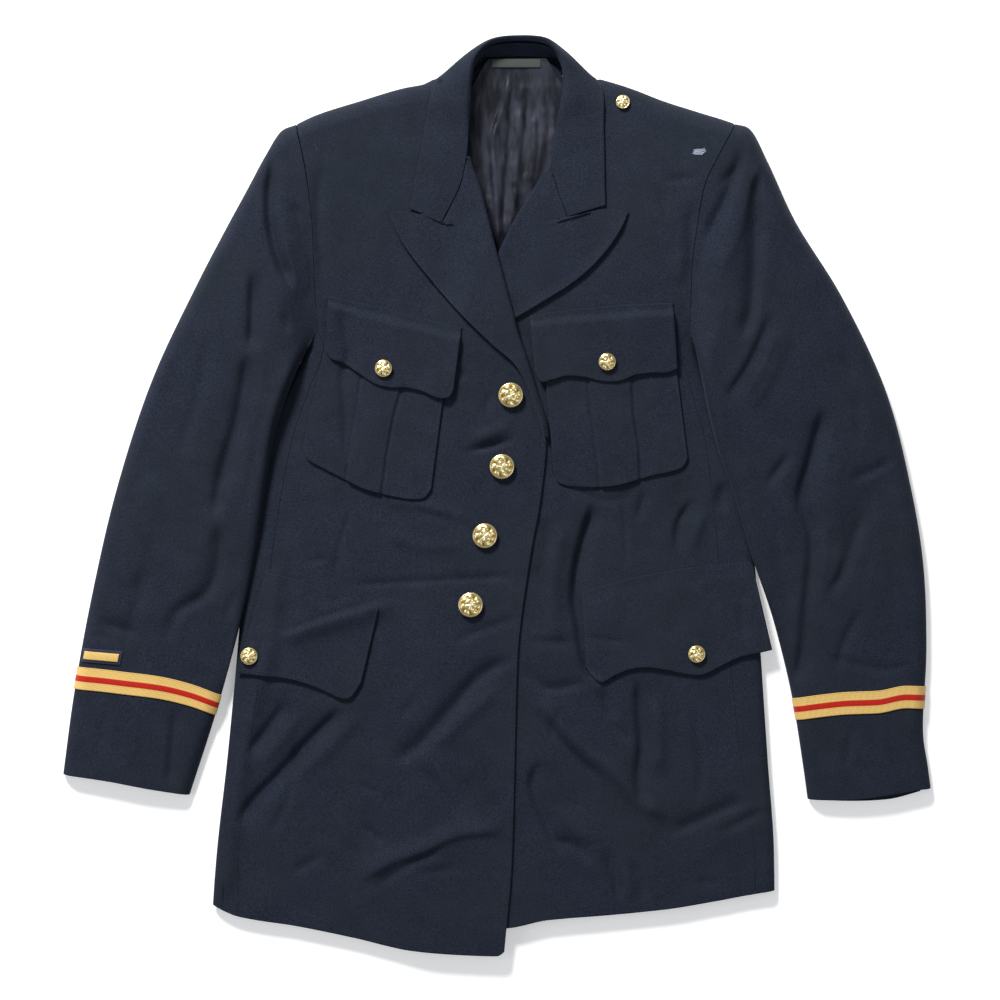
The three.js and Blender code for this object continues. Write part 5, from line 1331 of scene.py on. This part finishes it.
def giltButton(name, size, side, x, y, above, spin):
    look = buttonLook
    radius, spokes = size / 2, look["spokes"]

    def surface(px, py):
        px, py = np.array([px]), np.array([py])
        return float(shoulderFall(face(side, px, py), px, py)[0])
    step = radius * 0.6
    normal = Vector((surface(x - step, y) - surface(x + step, y), surface(x, y - step) - surface(x, y + step),
                     2 * step)).normalized()
    c, sn = math.cos(math.radians(spin)), math.sin(math.radians(spin))
    turn = np.array(Vector((0, 0, 1)).rotation_difference(normal).to_matrix())
    turn = turn @ np.array([[c, -sn, 0], [sn, c, 0], [0, 0, 1]])
    a = np.linspace(0, 2 * np.pi, spokes, endpoint=False)
    top = np.concatenate([np.linspace(0.02, 0.97, look["rings"]), [0.985, 0.995, 1.0]])
    profile = [(r, look["edge"] + (look["dome"] - look["edge"]) * math.sqrt(max(0, 1 - (r * 0.985) ** 2.2)), True)
               for r in top]
    profile += [(r, up, False) for r, up in ((0.985, 0.16), (0.93, 0.12), (0.86, 0.1), (0.4, 0.09), (0.26, 0.06),
                                             (0.24, -0.04), (0.02, -0.04))]  # back plate, then the shank
    rows, relief = [], []
    depth = look["deep"] if size == frontSize else look["deepSmall"]
    for r, up, faceSide in profile:
        bump = giltRelief(r, a) * depth if faceSide else 0 * a
        fade = 1 - ease((r - 0.97) / 0.03) * 0.6 if faceSide else 0
        rows.append(np.stack([r * radius * np.cos(a), r * radius * np.sin(a), up * radius + bump * fade], -1))
        # the face's relief height is kept for the gilt's painted shade and painted highlight; the back and shank get
        # one middle value
        relief.append(0.5 + 0.5 * np.clip(giltRelief(r, a), -1, 1) if faceSide else 0 * a + 0.45)
    count = len(rows)
    points = np.array(rows).reshape(-1, 3)
    points = np.concatenate([points, [[0, 0, points[0, 2]]], [[0, 0, points[-1, 2]]]])
    values = np.concatenate([np.array(relief).ravel(), [0.9, 0.4]])
    place = np.array([x, y, surface(x, y) + above]) + np.array(normal) * look["gap"]
    points = points @ turn.T + place
    index = np.arange(count * spokes).reshape(count, spokes)
    after = np.roll(index, -1, axis=1)
    quads = np.stack([index[:-1], index[1:], after[1:], after[:-1]], -1).reshape(-1, 4)
    mesh = bpy.data.meshes.new(name)
    faces = (quads.tolist() + [[count * spokes, index[0, i], after[0, i]] for i in range(spokes)]
             + [[count * spokes + 1, after[-1, i], index[-1, i]] for i in range(spokes)])
    mesh.from_pydata((points * mm).tolist(), [], faces)
    mesh.polygons.foreach_set("use_smooth", np.ones(len(faces), bool))
    attribute = mesh.attributes.new("relief", "FLOAT", "POINT")
    attribute.data.foreach_set("value", values.astype(np.float32))
    mesh.materials.append(gilt)
    mesh.update()
    piece = bpy.data.objects.new("gilt_" + name, mesh)
    bpy.context.collection.objects.link(piece)
    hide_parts(name)
    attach(piece, "root")


for row in buttonPlaces:
    giltButton(*row)
print("buttons made")


# Stitches: one geometry tree puts a short rod of thread at each step along a line.
def stitchTree(name):
    tree = bpy.data.node_groups.new(name, "GeometryNodeTree")
    sockets = tree.interface
    sockets.new_socket("Geometry", in_out="INPUT", socket_type="NodeSocketGeometry")
    for label, value in (("Pitch", 0.0028), ("Stitch length", 0.0019), ("Thread radius", 0.00018)):
        socket = sockets.new_socket(label, in_out="INPUT", socket_type="NodeSocketFloat")
        socket.default_value = value
    sockets.new_socket("Thread", in_out="INPUT", socket_type="NodeSocketMaterial")
    sockets.new_socket("Geometry", in_out="OUTPUT", socket_type="NodeSocketGeometry")
    given = addNode(tree, "NodeGroupInput")
    line = addNode(tree, "GeometryNodeMeshToCurve", {"Mesh": given.outputs["Geometry"]})
    steps = addNode(tree, "GeometryNodeResampleCurve", {
        "Curve": line.outputs["Curve"], "Length": given.outputs["Pitch"]}, mode="LENGTH")
    tangent = addNode(tree, "GeometryNodeInputTangent")
    aim = addNode(tree, "FunctionNodeAlignRotationToVector", {"Vector": tangent.outputs["Tangent"]}, axis="Z",
                  pivot_axis="AUTO")
    rod = addNode(tree, "GeometryNodeMeshCylinder", {
        "Vertices": 6, "Side Segments": 3, "Radius": given.outputs["Thread radius"],
        "Depth": given.outputs["Stitch length"]})
    place = addNode(tree, "GeometryNodeInstanceOnPoints", {
        "Points": steps.outputs["Curve"], "Instance": rod.outputs["Mesh"], "Rotation": aim.outputs["Rotation"]})
    real = addNode(tree, "GeometryNodeRealizeInstances", {"Geometry": place.outputs["Instances"]})
    dressed = addNode(tree, "GeometryNodeSetMaterial", {"Geometry": real.outputs["Geometry"],
                                                        "Material": given.outputs["Thread"]})
    result = addNode(tree, "NodeGroupOutput")
    tree.links.new(dressed.outputs["Geometry"], result.inputs["Geometry"])
    return tree


stitching = stitchTree("stitchesAlongLine")


# One piece of stitches along these lines: pitch, length and radius of the thread in millimetres.
def sewn(name, lines, pitch, long, thick, thread):
    points, edges = [], []
    for line in lines:
        start = len(points)
        points += [tuple(p) for p in line * mm]
        edges += [(start + i, start + i + 1) for i in range(len(line) - 1)]
    mesh = bpy.data.meshes.new(name + "Path")
    mesh.from_pydata(points, edges, [])
    guide = bpy.data.objects.new(name + "Path", mesh)
    bpy.context.collection.objects.link(guide)
    modifier = guide.modifiers.new("stitches", "NODES")
    modifier.node_group = stitching
    values = {"Pitch": pitch * mm, "Stitch length": long * mm, "Thread radius": thick * mm, "Thread": thread}
    for item in stitching.interface.items_tree:
        if item.item_type == "SOCKET" and item.in_out == "INPUT" and item.name in values:
            modifier[item.identifier] = values[item.name]
    shown = bpy.data.meshes.new_from_object(guide.evaluated_get(bpy.context.evaluated_depsgraph_get()))
    shown.name = name
    bpy.data.objects.remove(guide)
    piece = bpy.data.objects.new(name, shown)
    bpy.context.collection.objects.link(piece)
    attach(piece, "root")


wools, golds = ([path + [0, 0, 0.05] for path in stitchPaths[thread]] for thread in ("wool", "gold"))
sewn("edgeStitching", wools, 2.8, 1.9, 0.2, navyThread)
sewn("braidStitching", golds, 2.2, 1.2, 0.16, goldThread)
# Bar tack of each pocket's buttonhole, seen just above its button.
tackLook = dict(bars=7, half=1.1, step=0.9, lean=0.1, lift=0.2)
tacks = []
for side, x, y, above in (("R", -103, 125, lie["chestFlap"] + 0.5), ("L", 100, 131, lie["chestFlap"] + 0.5),
                          ("R", -224, -137, lie["lowerFlap"] + 0.6), ("L", 182, -135, lie["lowerFlap"] + 0.6)):
    for k in range(tackLook["bars"]):
        bar = k - tackLook["bars"] // 2
        across, level = x + bar * tackLook["lean"], y + bar * tackLook["step"]
        at = np.array([[across - tackLook["half"], level], [across + tackLook["half"], level]])
        z = face(side, at[:, 0], at[:, 1]) + above + tackLook["lift"]
        tacks.append(np.column_stack([at, z]))
sewn("buttonholeTacks", tacks, 2.0, 2.0, 0.3, navyThread)

# Thread ends that stand out of the cloth of the shoulders.
tuft = np.random.default_rng(7)
ends = []
for row in range(7):
    x = np.arange(178 + tuft.uniform(0, 2.4), 190 - tuft.uniform(0, 2.8), 2.0)
    y = 308.8 + 0.75 * row + 0.12 * (x - 184) * (row - 3) / 9 + tuft.normal(0, 0.16, x.shape)
    z = shoulderFall(face("L", x, y), x, y) + 0.25
    ends.append(np.column_stack([x, y, z]))
sewn("whiteThreadEnds", ends, 1.5, 1.7, 0.34, whiteThread)
at = np.array([[-165.5, 317.5], [-164, 315.8], [-163.2, 314], [-163.4, 312.4]])
z = shoulderFall(face("R", at[:, 0], at[:, 1]), at[:, 0], at[:, 1]) + 0.3
sewn("violetThreadEnd", [np.column_stack([at, z])], 1.2, 1.5, 0.3, violetThread)
print("stitches made")


# Floor, light and camera.
stageLook = dict(floor=3.0, floorDrop=0.0004, color="#F4F4F4", glow=0.3, air=0.26, eye=2.4, sensor=36,
                 middleX=0.00276, middleY=-0.0046, view=0.9127, faceHeight=0.016)
floorFinish.use_nodes = True
shader = floorFinish.node_tree.nodes["Principled BSDF"]
shader.inputs["Base Color"].default_value = linear(stageLook["color"])
shader.inputs["Roughness"].default_value = 0.9
shader.inputs["Emission Color"].default_value = (1, 1, 1, 1)
shader.inputs["Emission Strength"].default_value = stageLook["glow"]
shader.inputs["Specular IOR Level"].default_value = 0.1
half, level = stageLook["floor"] / 2, -stageLook["floorDrop"]
mesh = bpy.data.meshes.new("floor")
mesh.from_pydata([(x, y, level) for x, y in ((-half, -half), (half, -half), (half, half), (-half, half))], [],
                 [(0, 1, 2, 3)])
mesh.materials.append(floorFinish)
floorPiece = bpy.data.objects.new("floor", mesh)
bpy.context.collection.objects.link(floorPiece)

lightTable = [
    # name, place, size, watts, colour
    ("collarSoftbox", (-1.05, 2.4, 1.85), 0.7, 158, (1.0, 0.985, 0.96)),
    ("fillSoftbox", (1.4, -0.9, 2.2), 1.6, 12, (0.93, 0.96, 1.0)),
    ("leftSoftbox", (-1.9, -0.2, 1.3), 1.2, 8, (0.96, 0.98, 1.0)),
]
for name, place, size, watts, color in lightTable:
    data = bpy.data.lights.new(name, "AREA")
    data.shape, data.size, data.energy, data.color = "DISK", size, watts, color
    lamp = bpy.data.objects.new(name, data)
    lamp.location = place
    lamp.rotation_euler = (Vector((0, 0, 0)) - Vector(place)).to_track_quat("-Z", "Y").to_euler()
    bpy.context.collection.objects.link(lamp)
world = bpy.data.worlds.new("studioAir")
world.use_nodes = True
world.node_tree.nodes["Background"].inputs["Color"].default_value = (0.93, 0.96, 1.0, 1)
world.node_tree.nodes["Background"].inputs["Strength"].default_value = stageLook["air"]
bpy.context.scene.world = world
bpy.context.scene.view_settings.view_transform = "Standard"

cameraData = bpy.data.cameras.new("overheadCamera")
cameraData.sensor_width = stageLook["sensor"]
cameraData.lens = stageLook["sensor"] * (stageLook["eye"] - stageLook["faceHeight"]) / stageLook["view"]
cameraData.clip_end = 20
camera = bpy.data.objects.new("overheadCamera", cameraData)
camera.location = (stageLook["middleX"], stageLook["middleY"], stageLook["eye"])
bpy.context.collection.objects.link(camera)
bpy.context.scene.camera = camera
print("stage set")

for row in cutList:
    print("cut", *row)
